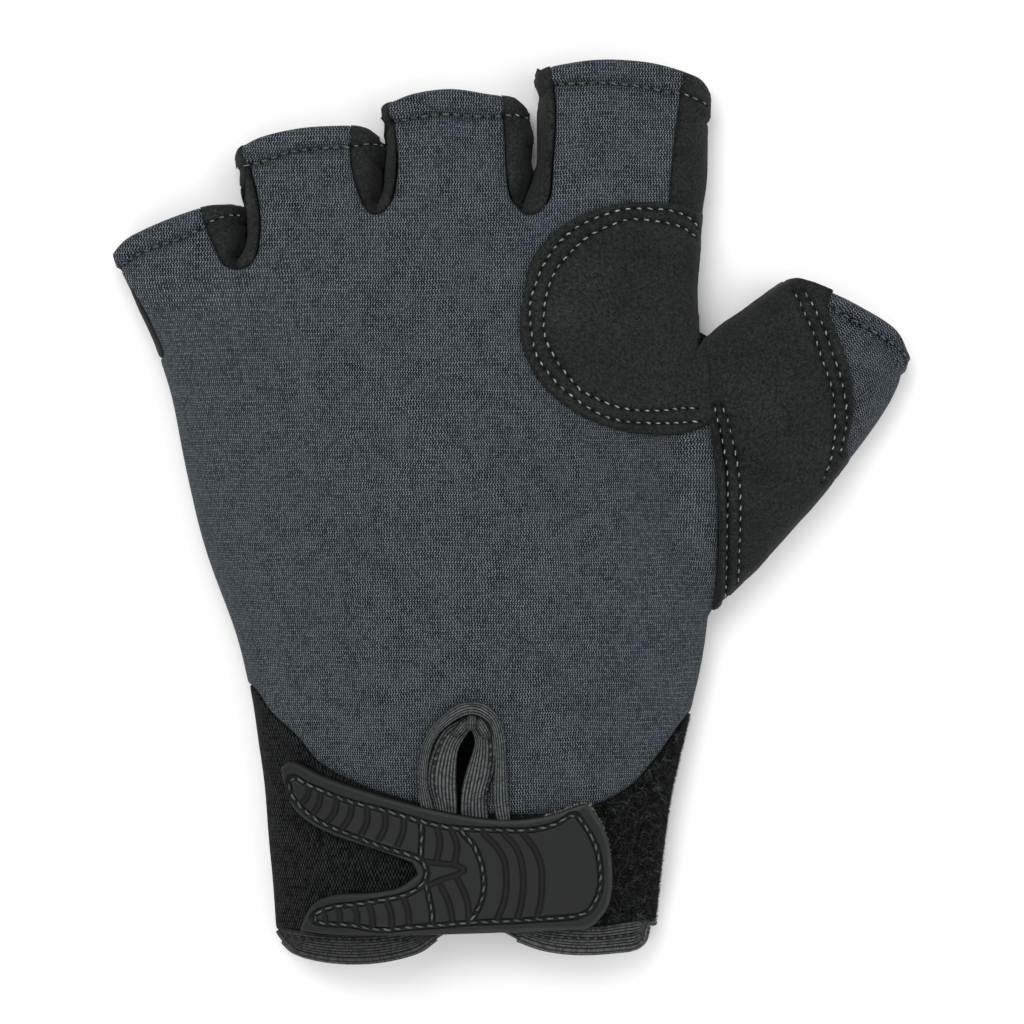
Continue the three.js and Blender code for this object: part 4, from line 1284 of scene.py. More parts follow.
def wall_piece(keep, bounds, lines, spacing=1.2, reach=SIDE_REACH, lift=0.0, thickness=2.1, relief=None,
               pits=(), under=False, tone=None, pit_size=1.0):
    """A panel of the form: its mesh, closed to a wall, where its weave lies, and its shade."""
    fixed = list(lines) + TIPS + [(CUFF_EDGE, False)]
    extra = pit_points(np.asarray(pits, float), pit_size)
    flat, faces = plan_mesh(keep, bounds, fixed, spacing, reach, extra)
    form = Form(flat)
    if under:
        points = np.column_stack([flat, form.under])
        faces = faces[:, ::-1]
        normals = vertex_normals(points, faces)
    else:
        flat, faces = compact(flat, faces[~webbed(flat, faces, form)])
        form = Form(flat)
        points = form.upper(flat)
        normals = upward(flat)
    seam = closest(flat, lines)
    flush = lift * (1 - 0.85 * smoothstep((form.out + 2.6) / 2.8))
    offset = flush - press(seam, 1.0, 0.5) * smoothstep(hem_depth(flat) / 2.5 - 0.6)
    if not under:
        offset = offset - press(np.clip(reach - form.out, 0, None), 0.9, 0.35)
    if relief is not None:
        offset = offset + relief(flat)
    offset = offset + pit_relief(flat, pits, pit_size)
    points = points + normals * offset[:, None]
    # Painted shade in the needle pits and along the seams.
    shade = pit_tone(flat, pits, pit_size) * (1 - 0.4 * bell(seam, 0.35))
    if tone is not None:
        shade = shade * tone(flat)
    return walled(points, points - normals * thickness, faces, cloth_uv(flat, points), shade)


def joined(parts):
    """Several meshes as one."""
    points, faces, uvs, tones = zip(*parts)
    starts = np.cumsum([0] + [len(solid) for solid in points[:-1]])
    faces = [made + start for made, start in zip(faces, starts)]
    return np.vstack(points), np.vstack(faces), np.vstack(uvs), np.concatenate(tones)


def add_panel(name, made, material, slot, *nodes):
    solid, faces, uv, tone = made
    return dress(add_object(name, solid, faces, material, uv, tone), slot, *nodes)


def stitch_places(line, pitch):
    """Where the needle goes through: points along a plan line, spaced on the surface."""
    line = spaced(curve(line, 6), 0.4)
    run = length_along(upper(line))
    count = max(2, int(round(run[-1] / pitch)))
    return at_lengths(line, run, np.linspace(0, run[-1], count + 1))


def pits_along(rows, pitch):
    return np.vstack([stitch_places(row, pitch) for row in rows])


def stitch_middles(line, pitch):
    """Middle and way of every stitch of a row."""
    holes = stitch_places(line, pitch)
    return list(zip((holes[1:] + holes[:-1]) / 2, holes[1:] - holes[:-1]))


def thread_rows(name, rows, material, lift, pitch, length, radius, seed):
    stitches = [stitch for row in rows for stitch in stitch_middles(row, pitch)]
    return thread_bows(name, stitches, material, lift, length, radius, None, seed)


def tube_faces(along, around):
    """Quads of a tube made of rings of points."""
    made = []
    for start in range(0, (along - 1) * around, around):
        for k in range(around):
            a, b = start + k, start + (k + 1) % around
            made.append((a, b, b + around, a + around))
    return made


def thread_bows(name, stitches, material, lift, length, radius, relief, seed, side=upper):
    """Thread between neighbouring needle holes: every stitch is a short twisted two-ply bow."""
    draw = np.random.default_rng(seed)
    around, along = 8, 11
    s = np.linspace(-1, 1, along)
    theta = np.linspace(0, 2 * math.pi, around, endpoint=False)
    bow = tube_faces(along, around)
    bow += [tuple(range(around))[::-1], tuple(range((along - 1) * around, along * around))]
    vertices, faces, tones, total = [], [], [], 0
    normals = upward(np.array([middle for middle, _ in stitches]), side)
    for (middle, way), n in zip(stitches, normals):
        full = np.linalg.norm(way)
        half = full * length / 2 * draw.uniform(0.78, 1.12)
        w = way / full
        w = w + np.array([-w[1], w[0]]) * (SLANT + draw.uniform(-0.16, 0.16))
        plan = middle + w * (s * half)[:, None]
        level = np.full(along, lift) + (relief(plan) if relief else 0)
        centre = side(plan) + n * (level + radius * 0.75)[:, None]
        centre = centre - n * ((np.abs(s) ** 4) * radius * 2.1)[:, None]
        tangent = unit(np.gradient(centre, axis=0))
        right = unit(np.cross(tangent, n))
        up = np.cross(right, tangent)
        thick_here = radius * (1 - 0.35 * np.abs(s) ** 3) * draw.uniform(0.92, 1.08)
        twist = theta * 2 - (s * half)[:, None] * 2 * math.pi / PLY_TURN + draw.uniform(0, 6)
        swell = thick_here[:, None] * (1 + 0.2 * np.cos(twist))
        round_it = np.cos(theta)[:, None] * right[:, None] + np.sin(theta)[:, None] * up[:, None]
        ring = centre[:, None] + swell[:, :, None] * round_it
        vertices.append(ring.reshape(-1, 3))
        faces.extend(tuple(v + total for v in face) for face in bow)
        # Random tone per stitch, with painted shade at its ends where it dips into the needle holes.
        shade = draw.uniform(0.6, 1.3) * (1 - 0.6 * s ** 4)
        tones.append(np.repeat(shade, around))
        total += around * along
    return add_object(name, np.vstack(vertices), faces, material, tone=np.concatenate(tones))


def cords(t, ribs):
    """Height of the cords at shares of the way across a band."""
    return 0.13 * np.abs(np.sin(math.pi * t * ribs)) ** 0.7


def ribbon(line_a, line_b, lift, ribs, thickness, taper=0.5):
    """A ribbed band between two plan lines that run the same way."""
    count = int(max(length_along(line_a)[-1], 4) / 0.5)
    a, b = even(line_a, count), even(line_b, count)
    t = np.linspace(0, 1, ribs * 6 + 1)
    flat = (a[:, None] * (1 - t)[:, None] + b[:, None] * t[:, None]).reshape(-1, 2)
    base, normal = upper(flat), upward(flat)
    edge = np.minimum(t, 1 - t) * np.linalg.norm(a - b, axis=1)[:, None]
    rise = lift + cords(t, ribs) - press(edge, taper, taper * 0.7)
    top = base + normal * rise.reshape(-1, 1)
    uv = np.column_stack([np.repeat(length_along((a + b) / 2), len(t)), np.tile(t * ribs, count)])
    triangles = halved(quads_of(np.arange(len(flat)).reshape(count, -1)))
    p, q, r = top[triangles[0]]
    if np.dot(np.cross(q - p, r - p), normal[triangles[0, 0]]) < 0:
        triangles = triangles[:, ::-1]
    # The tone paints shade along both edges of the band.
    return walled(top, base + normal * (lift - thickness), triangles, uv, 1 - 0.5 * bell(edge, 0.3).ravel())


def fibres(roots, ways, lengths, radius, bend, seed):
    """Fine curved fibres: three-sided tubes that end in a point."""
    draw = np.random.default_rng(seed)
    count, along = len(roots), 5
    s = np.linspace(0, 1, along)
    side = unit(np.cross(ways, draw.normal(size=(count, 3))))
    other = np.cross(ways, side)
    centre = roots[:, None] + ways[:, None] * (lengths[:, None] * np.sin(s * 1.4))[:, :, None]
    centre = centre + side[:, None] * (bend * lengths[:, None] * (1 - np.cos(s * 2.4)))[:, :, None]
    theta = np.arange(3)[:, None] * 2 * math.pi / 3
    ring = np.cos(theta) * side[:, None, None] + np.sin(theta) * other[:, None, None]
    vertices = centre[:, :, None] + ring * (radius * (1 - 0.75 * s))[:, None, None]
    faces = np.array(tube_faces(along, 3)) + (np.arange(count) * along * 3)[:, None, None]
    return vertices.reshape(-1, 3), faces.reshape(-1, 4)


# Pieces

def back_relief(points):
    return hem_relief(points) + 0.1 * waves(points, 26, 3)


def build_back(sizes, paints):
    others = list(GUSSETS.values()) + [INDEX_SIDE_PLAN, SLIVER_PLAN, THUMB_REGION, TAPES_PLAN]

    def keep(c):
        good = covered(c, SIDE_REACH) & (past_heel(c) > 0)
        for other in others:
            good &= ~inside(c, other)
        return good

    lines = [(other, True) for other in others] + [(HEEL, False)]
    pits = pits_along(HEM_ROWS[:4], sizes.stitch_pitch)
    made = wall_piece(
        keep, (-86, -66, 48, 96), lines, 1.25, relief=back_relief, pits=pits, tone=hem_tone,
        pit_size=KNIT_PIT)
    knit = knit_material("grey_knit", paints.knit, sizes.wale, sizes.course)
    add_panel("back_cloth", made, knit, "grey_knit", "back_panel")


class Gusset:
    """The cloth between two stalls: it rolls down from its seams to the line where the stalls meet."""

    def __init__(self, plan, first, gap, free, depth):
        self.plan = plan
        self.gap = smooth(plan_of(gap, 11), 0.3)
        left, right = free
        self.right = smooth(plan_of(right, WIDEST), 0.35)
        self.free = [self.right]
        if left:
            self.left = smooth(plan_of(left, WIDEST), 0.35)
            self.free.append(self.left)
        else:
            self.left = self.gap[0] + [[0.4, 5.0], [0.0, 0.0]]  # up from where the fold begins
        self.stalls = stalls[first], stalls[first + 1]
        self.depth = depth
        self.rim = plan[covered(plan, -0.3)]
        self.rim_height = Form(self.rim).top

    def surface(self, points):
        away = ((points[:, None] - self.rim[None]) ** 2).sum(2)
        weight = 1 / (away + 0.1) ** 2
        seam_height = (weight * self.rim_height).sum(1) / weight.sum(1)
        seam = np.sqrt(away.min(1))
        gap = distance(points, self.gap)
        share = gap / (gap + seam + 1e-6)
        foot = np.linalg.norm(points - self.gap[-1], axis=1)
        depth = self.depth * (0.55 + 0.45 * smoothstep(foot / 5))
        height = seam_height - depth * (1 - np.sqrt(1 - (1 - share) ** 2))
        free = closest(points, open_lines(self.free))
        height = height - press(free, 2.4, 1.0) * (height - SEAM_HEIGHT)
        return np.column_stack([points, height])

    def line_x(self, points, edge):
        line = np.vstack([edge, self.gap])
        order = line[:, 1].argsort()
        return np.interp(points[:, 1], line[order, 1], line[order, 0])

    def keep(self, c):
        on_left = (c[:, 0] < self.line_x(c, self.left)) & (self.stalls[0].past_tip(c) < 0)
        on_right = (c[:, 0] > self.line_x(c, self.right)) & (self.stalls[1].past_tip(c) < 0)
        return inside(c, self.plan) & (on_left | on_right)

    def back(self, points):
        """How far points are behind the end of the stall on their side of the fold."""
        on_left = points[:, 0] < self.line_x(points, self.left)
        left, right = (distance(points, stall.tip) for stall in self.stalls)
        return np.where(on_left, left, right)


def gusset_upper(points):
    """The outer face at plan points, where they lie in a gusset on the gusset's own surface."""
    place = upper(points)
    for name, plan in GUSSETS.items():
        mine = inside(points, plan)
        if mine.any():
            place[mine] = Gusset(plan, *GUSSET_FOLDS[name]).surface(points[mine])
    return place


def build_gussets(sizes, paints):
    suede = suede_material("black_suede", paints.suede)
    pits = pits_along(HEM_ROWS[:4], sizes.stitch_pitch)
    for name, plan in GUSSETS.items():
        gusset = Gusset(plan, *GUSSET_FOLDS[name])
        box = box_of(plan)
        lines = [(plan, True)] + open_lines([gusset.gap, gusset.left, gusset.right]) + TIPS
        near = pits[(pits > box[:2]).all(1) & (pits < box[2:]).all(1)]
        flat, faces = plan_mesh(gusset.keep, box, lines, 0.5, 0.0, pit_points(near))
        normals = upward(flat, gusset.surface)
        seam = distance(flat, plan, True)
        back = gusset.back(flat)
        sunk = press(seam, 1.0, 0.5) * smoothstep(back / 2.5 - 0.6)
        offset = hem_relief(flat, back) + pit_relief(flat, near) - sunk + 0.07 * waves(flat, 7, 41)
        points = gusset.surface(flat) + normals * offset[:, None]
        # Painted shade in the needle pits, in the hem's groove and along the seam.
        shade = pit_tone(flat, near) * hem_tone(flat, back) * (1 - 0.4 * bell(seam, 0.35))
        # Painted shade in the fold where the stalls meet: wide and deep on its left, a thin line on its
        # right.
        on_left = flat[:, 0] < gusset.line_x(flat, gusset.left)
        fold = np.minimum(distance(flat, gusset.gap), distance(flat, gusset.left) + 0.5)
        shade = shade * np.where(on_left, 1 - 0.95 * bell(fold, 2.3), 1 - 0.5 * bell(fold, 0.35))
        made = walled(points, points - normals * 0.9, faces, cloth_uv(flat, points), shade)
        add_panel("gusset_" + name, made, suede, "black_suede", "fourchette_" + name)

    def keep(c):
        return covered(c, SIDE_REACH) & inside(c, INDEX_SIDE_PLAN) & (past_knuckles(c) > -14)

    made = wall_piece(
        keep, box_of(INDEX_SIDE_PLAN), [(INDEX_SIDE_PLAN, True)], 0.7, relief=hem_relief, thickness=1.9,
        pits=pits, tone=hem_tone)
    add_panel("index_side_suede", made, suede, "black_suede", "index_side_panel")


def build_palm(sizes, paints):
    suede = suede_material("palm_suede", paints.suede)

    def keep_under(c):
        return covered(c, UNDER_REACH) & (past_heel(c) > 0)

    def keep_sliver(c):
        return covered(c, SIDE_REACH) & inside(c, SLIVER_PLAN)

    under = wall_piece(
        keep_under, (-86, -66, 86, 96), [(HEEL, False)], 1.6, UNDER_REACH, under=True, thickness=2.0)
    sliver = wall_piece(keep_sliver, (-86, 28, -66, 56), [(SLIVER_PLAN, True)], 0.6)
    add_panel("palm_suede", joined([under, sliver]), suede, "black_suede", "palm_panel")


def add_patch(name, node, plan, rows, bounds, spacing, relief, tone, suede, pitch, folds=()):
    """A suede patch sewn on by stitch rows: padded, sunk at its rows, with a relief and tone of its own."""
    pits = pits_along(rows, pitch)
    sewn = open_lines([curve(row, 4) for row in rows])

    def keep(c):
        return covered(c, PATCH_REACH) & inside(c, plan)

    # The patch's tone gets painted shade along its stitch rows.
    made = wall_piece(
        keep, bounds, [(plan, True)] + open_lines(folds), spacing, reach=PATCH_REACH, lift=PATCH_LIFT,
        thickness=1.1, relief=lambda points: relief(points, closest(points, sewn)),
        pits=pits, tone=lambda points: tone(points) * (1 - 0.35 * bell(closest(points, sewn), 0.35)))
    add_panel(name, made, suede, "black_suede", node)


def build_thumb(sizes, paints):
    knit = knit_material("thumb_knit", paints.knit, sizes.wale, sizes.course)

    def keep(c):
        return covered(c, SIDE_REACH) & inside(c, THUMB_REGION) & (past_heel(c) > 0)

    solid, faces, uv, shade = wall_piece(
        keep, (34, -36, 88, 56), [(THUMB_REGION, True)], 1.1, relief=hem_relief, tone=hem_tone,
        pit_size=KNIT_PIT, pits=pits_along(HEM_ROWS[4:], sizes.stitch_pitch))
    turned = np.column_stack([uv[:, 0] * 0.77 + uv[:, 1] * 0.64, uv[:, 1] * 0.77 - uv[:, 0] * 0.64])
    add_panel("thumb_cloth", (solid, faces, turned, shade), knit, "grey_knit", "thumb_stall")
    plan = seen(outline(*THUMB_PATCH, step=0.7), PATCH_LIFT)
    folded = seen(smooth(THUMB_PATCH[0][3:]), PATCH_LIFT)
    folded_edge = seen(smooth(THUMB_PATCH[0][3:]) + [1.8, 0], PATCH_LIFT)

    def relief(points, sewn):
        padding = 0.22 * smoothstep((distance(points, plan, True) - 4.5) / 4)
        fold = distance(points, folded)
        strip = 0.34 * smoothstep((1.75 - fold) / 0.3) - 0.3 * bell(fold - 1.8, 0.22)
        away = np.linalg.norm(points - [45.5, 32.5], axis=1)
        soft = 0.3 * waves(points, 6.5, 9) * bell(away, 7.5)
        return padding + strip + soft - 0.34 * bell(sewn, 0.55) + 0.08 * waves(points, 12, 5)

    # Painted shade along the edge of the folded strip.
    def tone(points):
        return 1 - 0.6 * bell(distance(points, folded) - 1.8, 0.24)

    suede = suede_material("thumb_suede", scaled(paints.suede, 0.92))
    add_patch(
        "thumb_patch_suede", "thumb_patch", plan, THUMB_ROWS, (34, -28, 76, 60), 0.9, relief, tone, suede,
        sizes.stitch_pitch, [folded_edge])


def build_knuckle_patch(sizes, paints):
    plan = seen(outline(*KNUCKLE_PATCH, step=0.6), PATCH_LIFT)

    def relief(points, sewn):
        padding = 0.2 * smoothstep((distance(points, plan, True) - 4.2) / 3)
        return padding - 0.36 * bell(sewn, 0.55) + 0.05 * waves(points, 15, 6)

    suede = suede_material("knuckle_suede", paints.suede)
    add_patch(
        "knuckle_patch_suede", "knuckle_patch", plan, KNUCKLE_ROWS, (-1, 12, 48, 66), 0.8, relief,
        lambda points: 1.0, suede, sizes.stitch_pitch)


def build_cuff(sizes, paints):
    split = np.array([[LOOP_EDGE_X, y] for y in np.arange(-95, -30, 0.7)])
    lines = [(HEEL, False), (BINDING_LINE, False), (TAPES_PLAN, True), (split, False)]

    def on_cuff(c):
        return (past_heel(c) < 0) & (past_binding(c) > 0)

    def on_knit(c):
        return covered(c, SIDE_REACH) & on_cuff(c) & ~inside(c, TAPES_PLAN) & (c[:, 0] < LOOP_EDGE_X)

    def on_loops(c):
        return covered(c, LOOP_REACH) & on_cuff(c) & ~inside(c, TAPES_PLAN) & (c[:, 0] > LOOP_EDGE_X)

    def on_floor(c):
        return covered(c, UNDER_REACH) & on_cuff(c)

    top = wall_piece(on_knit, (-56, -88, -6, -30), lines, 1.2, relief=lambda p: 0.14 * waves(p, 18, 11))
    floor = wall_piece(
        on_floor, (-56, -88, 44, -30), lines[:2], 1.8, UNDER_REACH, under=True, thickness=2.0)
    knit = mesh_knit_material("cuff_mesh_knit", paints.cuff, 0.71, 0.78)
    add_panel("cuff_cloth", joined([top, floor]), knit, "black_knit", "cuff_knit")
    made = wall_piece(on_loops, (-11, -88, 44, -30), lines, 1.1, reach=LOOP_REACH)
    add_panel("cuff_loop_cloth", made, pile_material("loop_cloth", paints.pile), "loop_fabric", "cuff_loop")
    draw = np.random.default_rng(21)
    spots = np.column_stack([draw.uniform(-9, 42, 60000), draw.uniform(-86, -32, 60000)])
    hidden = inside(spots, STRAP_PLAN) & (distance(spots, STRAP_PLAN, True) > 1.5)
    spots = spots[on_loops(spots) & ~hidden & (past_heel(spots) < -0.2)][:sizes.pile_count]
    normals = upward(spots)
    ways = unit(normals + draw.normal(size=(len(spots), 3)) * 0.85) + normals * 0.25
    lengths = sizes.pile_length * draw.uniform(0.6, 1.3, len(spots))
    lengths = lengths * (1 - 0.75 * smoothstep((Form(spots).out + 2.5) / 1.8))
    vertices, faces = fibres(upper(spots), ways, lengths, 0.06, 0.75, 22)
    pile = fibre_material("pile_fibre", scaled(paints.pile, 21.0))
    clump = 0.5 + 0.5 * waves(spots, 2.6, 23)
    tone = (0.02 + 0.98 * draw.uniform(0, 1, len(spots)) ** 3) * (0.2 + 1.2 * np.clip(clump, 0, 1))
    tone = np.repeat(tone, len(vertices) // len(spots))
    dress(add_object("cuff_loop_pile", vertices, faces, pile, tone=tone), "loop_fabric")


def binding_part(x0, x1, side, lift, light=1.0):
    """The elastic between two places across the cuff, down to the round of its fold."""
    shrink = 0.9905 if side is upper else 1.0
    edge = CUFF_EDGE[(CUFF_EDGE[:, 0] > x0) & (CUFF_EDGE[:, 0] < x1)] * shrink
    seam = BINDING_LINE * shrink
    end = spaced(edge, 0.5)
    out = -turned_left(unit(np.gradient(end, axis=0)))
    end = end - out * FOLD_RADIUS
    end[:, 1] = np.minimum(end[:, 1], np.interp(end[:, 0], seam[:, 0], seam[:, 1]) - 0.3)
    top = np.column_stack([end[:, 0], np.interp(end[:, 0], seam[:, 0], seam[:, 1])])
    vertices, triangles, uv, tone = binding_band(top, end, out, side, lift)
    # light scales the whole part's tone: painted shade below 1, painted light above 1.
    return vertices, triangles, uv, tone * light


def binding_band(top, end, out, side, lift):
    """A ribbed band that folds round the cuff's lower edge: top rows, a round turn, rows inside."""
    ribs, thickness = 8, 3.0
    n, rows = len(top), ribs * 5
    t = np.linspace(0, 1, rows)
    flat = (top[:, None] * (1 - t)[:, None] + end[:, None] * t[:, None]).reshape(-1, 2)
    base = side(flat).reshape(n, rows, 3)
    normal = upward(flat, side).reshape(n, rows, 3)
    if side is lower:
        normal = np.zeros_like(normal)
        normal[:, :, 2] = -1
    across = np.linalg.norm(end - top, axis=1)[:, None] * t
    flush = lift * (1 - 0.8 * smoothstep((Form(flat).out.reshape(n, rows) + 1.5) / 2))
    rise = flush + cords(t, ribs) - press(across, 0.6, 0.4)
    outer = base + normal * rise[:, :, None]
    angles = np.linspace(0, math.pi, 16)[1:]
    edge_normal = normal[:, -1]
    away = np.column_stack([out, np.zeros(n)])
    centre = base[:, -1] + edge_normal * (flush[:, -1:] - FOLD_RADIUS)
    swell = FOLD_RADIUS + 0.1 * np.abs(np.sin(angles * 3.5)) ** 0.7
    fold = centre[:, None] + edge_normal[:, None] * (np.cos(angles) * swell)[:, None]
    fold = fold + away[:, None] * (np.sin(angles) * swell)[:, None]
    inner = base[:, ::-6] + normal[:, ::-6] * (lift - thickness)
    section = np.concatenate([outer, fold, inner], axis=1)
    m = section.shape[1]
    index = np.arange(n * m).reshape(n, m)
    quads = quads_of(np.column_stack([index, index[:, 0]]))
    triangles = halved(quads[:, ::-1] if side is lower else quads)
    fans = [[(row[0], row[i], row[i + 1]) for i in range(1, m - 1)] for row in (index[0], index[-1])]
    triangles = np.vstack([triangles, fans[0], np.array(fans[1])[:, ::-1]])
    inside_rows = np.linspace(14, 20, inner.shape[1])
    girth = np.concatenate([t * ribs, ribs + np.linspace(0.3, 5, len(angles)), inside_rows])
    uv = np.column_stack([np.repeat(length_along(base[:, 0]), m), np.tile(girth, n)])
    # Painted shade along the band's top edge and a painted highlight just below it.
    painted_edge_shade_and_highlight = 1 - 0.5 * bell(across, 0.3) + 0.9 * bell(across - 0.55, 0.16)
    tone = np.concatenate([painted_edge_shade_and_highlight, np.ones((n, m - rows))], axis=1)
    return section.reshape(-1, 3), triangles, uv, tone.ravel()


def body_side(x_sign, reach):
    k = np.abs(body.left[:, 1] + 86).argmin()
    edge = body.left[k, 0] if x_sign < 0 else body.right[k, 0]
    return edge + x_sign * reach


def pleat(start, end, width, lift, rise):
    """A short gather of tape: a fat rib that swells from both ends."""
    s, t = np.linspace(-1, 1, 25)[:, None], np.linspace(-1, 1, 17)
    way = np.subtract(end, start)
    across = np.array([-way[1], way[0]]) / np.linalg.norm(way) * width / 2
    middle = np.add(start, end) / 2
    flat = middle + way / 2 * s[:, :, None] + across * (t * (1 - 0.45 * s ** 2))[:, :, None]
    flat = flat.reshape(-1, 2)
    shell = np.sqrt(np.clip(1 - s ** 4, 0, 1)) * np.sqrt(np.clip(1 - t ** 2, 0, 1))
    normals = upward(flat)
    cord = 0.07 * np.abs(np.cos(2.5 * math.pi * t))
    points = upper(flat) + normals * (lift - 0.8 + (rise + 0.8) * shell + cord).reshape(-1, 1)
    faces = halved(quads_of(np.arange(len(flat)).reshape(len(s), len(t))))[:, [0, 2, 1]]
    a, b, c = (points[faces[:, i]] for i in range(3))
    if (np.cross(b - a, c - a) * normals[faces[:, 0]]).sum() < 0:
        faces = faces[:, ::-1]
    run = np.repeat((s + 1) / 2 * np.linalg.norm(way), len(t))
    uv = np.column_stack([run, np.tile(t * 2.5, len(s))])
    # The tone paints shade: each pleat darkens to almost black towards its edges and ends.
    return walled(points, points - normals * 0.4, faces, uv, (0.04 + 1.0 * shell ** 1.6).ravel())


def build_elastic(sizes, paints):
    elastic = elastic_material("ribbed_elastic", paints.elastic)
    binding = elastic_material("binding_elastic", paints.binding)
    low, high = body_side(-1, SIDE_REACH), body_side(1, SIDE_REACH)
    # The left upper part gets painted shade (0.75), the right upper part painted light (1.25).
    parts = [
        binding_part(low + 1.7, -14.6, upper, 0.7, 0.75), binding_part(0.4, high - 1.7, upper, 0.7, 1.25),
        binding_part(low + SIDE_REACH + 0.6, high - SIDE_REACH - 0.6, lower, 0.0),
    ]
    add_panel("wrist_binding_band", joined(parts), binding, "ribbed_elastic", "wrist_binding")
    made = ribbon(seen(smooth(ARCH_OUTER, 0.5), 2), seen(smooth(ARCH_INNER, 0.5), 2), 2.0, 5, 0.9)
    add_panel("slit_arch_band", made, elastic, "ribbed_elastic", "keyhole_arch")
    for name, edge, slit in (("left", TAPE_LEFT, SLIT_LEFT_LINE), ("right", TAPE_RIGHT, SLIT_RIGHT_LINE)):
        edge, slit = edge[edge[:, 1] > TAPE_END_Y], slit[slit[:, 1] > TAPE_END_Y]
        made = ribbon(edge, slit, 0.7, 8, 2.9, taper=0.7)
        add_panel(f"slit_tape_{name}_band", made, elastic, "ribbed_elastic", "slit_tape_" + name)
    made = joined([pleat(*traced(ends, 1), width, 1.3, rise) for ends, width, rise in PLEATS])
    add_panel("slit_pleats", made, elastic, "ribbed_elastic")


GROOVE_HALF = 0.45
STRAP_SEWN = (STRAP_STITCHES, STRAP_CROSS_UPPER, STRAP_CROSS_LOWER, STRAP_CURVED_STITCHES)
STRAP_ROWS = [(curve(traced(row, 3), 4), row is STRAP_STITCHES) for row in STRAP_SEWN]
STRAP_GROOVE_LINES = [curve(traced(line, 3), 5) for line in STRAP_GROOVES]


def strap_face(points):
    """Height and tone of the strap's face: rim and pads, with stitch channels and grooves between. The tone
    is painted shade in channels, grooves, needle holes and a line inside the rim, and painted highlights on
    the rim's bevel, stronger to the right, and along the channels' edges.
    """
    edge = distance(points, STRAP_PLAN, True)
    rim = edge < 1.75
    channel = closest(points, STRAP_ROWS, 9.0)
    groove = np.where(rim, 9.0, closest(points, open_lines(STRAP_GROOVE_LINES), 9.0))
    raised = smoothstep((channel - 0.46) / 0.16) * smoothstep((groove - GROOVE_HALF) / 0.15)
    height = 0.5 * raised + np.where(rim, 0.14, 0.0) * raised
    height = height - press(edge, 0.95, 0.5)
    wall = np.minimum(np.abs(channel - 0.52), np.abs(groove - GROOVE_HALF))
    # Painted shade on channel and groove floors, at their walls and in the needle holes.
    shade = (0.45 + 0.55 * raised) * (1 - 0.9 * bell(wall, 0.17))
    holes = pits_along([row for row, _ in STRAP_ROWS], 2.1)
    shade = shade * (1 - 0.85 * bell(nearest(points, holes), 0.4))
    shade = shade * np.where(channel < 0.5, 0.4, 1.0)
    # Painted light: the highlight on the rim's bevel grows stronger to the right.
    painted_light_to_right = 0.55 + 0.45 * np.tanh((points[:, 0] + 12) / 18)
    painted_highlight = 1.5 * painted_light_to_right * smoothstep((0.95 - edge) / 0.12) * smoothstep(edge / 0.2)
    painted_highlight = painted_highlight + 0.5 * bell(channel - 0.75, 0.16)
    return height, shade * (1 + painted_highlight) * (1 - 0.4 * bell(edge - 1.0, 0.12))


def beside(line, gaps, closed=False):
    """Points in rows along both sides of a line."""
    line = spaced(line, 0.28, closed)
    across = turned_left(unit(np.gradient(line, axis=0)))
    return np.vstack([line + across * gap for gap in gaps] + [line - across * gap for gap in gaps])


def build_strap(sizes, paints):
    rows = [beside(line, (0.02, 0.3, 0.5, 0.7), closed) for line, closed in STRAP_ROWS]
    rows += [beside(line, (0.22, 0.45, 0.66)) for line in STRAP_GROOVE_LINES]
    rows = np.vstack(rows + [beside(STRAP_PLAN, (0.14, 0.4, 0.9, 1.7), True)])
    rows = rows[inside(rows, STRAP_PLAN)]
    flat, faces = plan_mesh(
        lambda c: inside(c, STRAP_PLAN), box_of(STRAP_PLAN), [(STRAP_PLAN, True)], sizes.strap_mesh, 1.0,
        rows)
    height, shade = strap_face(flat)
    normals = upward(flat)
    points = upper(flat) + normals * (2.9 + height)[:, None]
    solid, closed_faces, _, shade = walled(points, points - normals * 2.5, faces, flat, shade)
    # Painted shade on the strap's underside and side walls.
    shade[len(flat):] *= 0.6
    rubber = rubber_material("strap_rubber", paints.rubber)
    add_panel("strap_moulding", (solid, closed_faces, None, shade), rubber, "strap_rubber", "strap")
    plan = seen(spaced(smooth(HOOK_TAB, 0.5), 0.5, True), 1.5)
    plan = plan + (plan - plan.mean(0)) * 0.02
    made = wall_piece(
        lambda c: inside(c, plan) & (past_binding(c) > 0.2), box_of(plan), [(plan, True)], 0.6, lift=1.3,
        thickness=0.8)
    hook = pile_material("hook_tape", scaled(paints.pile, 1.2))
    add_panel("strap_hook_tape", made, hook, "hook_tape", "strap_hook_tab")
    draw = np.random.default_rng(61)
    edge = spaced(STRAP_PLAN[(STRAP_PLAN[:, 0] > 6) & (STRAP_PLAN[:, 1] > -76)], 0.09)
    out = turned_left(unit(np.gradient(edge, axis=0)))
    ways = np.column_stack([out, np.full(len(edge), 0.25)])
    ways = unit(ways + draw.normal(size=ways.shape) * 0.55)
    roots = upper(edge) + upward(edge) * draw.uniform(1.4, 2.8, len(edge))[:, None]
    share = np.linspace(0, 1, len(edge))
    lengths = draw.uniform(0.3, 0.7, len(edge)) * (0.5 + 0.7 * bell(share - 0.35, 0.16))
    vertices, faces = fibres(roots, ways, lengths, 0.065, 0.5, 62)
    fuzz = fibre_material("hook_fibre", linear(176, 176, 166))
    tone = np.repeat(draw.uniform(0.1, 1.0, len(edge)) ** 1.6, len(vertices) // len(edge))
    dress(add_object("strap_hook_fuzz", vertices, faces, fuzz, tone=tone), "hook_tape")


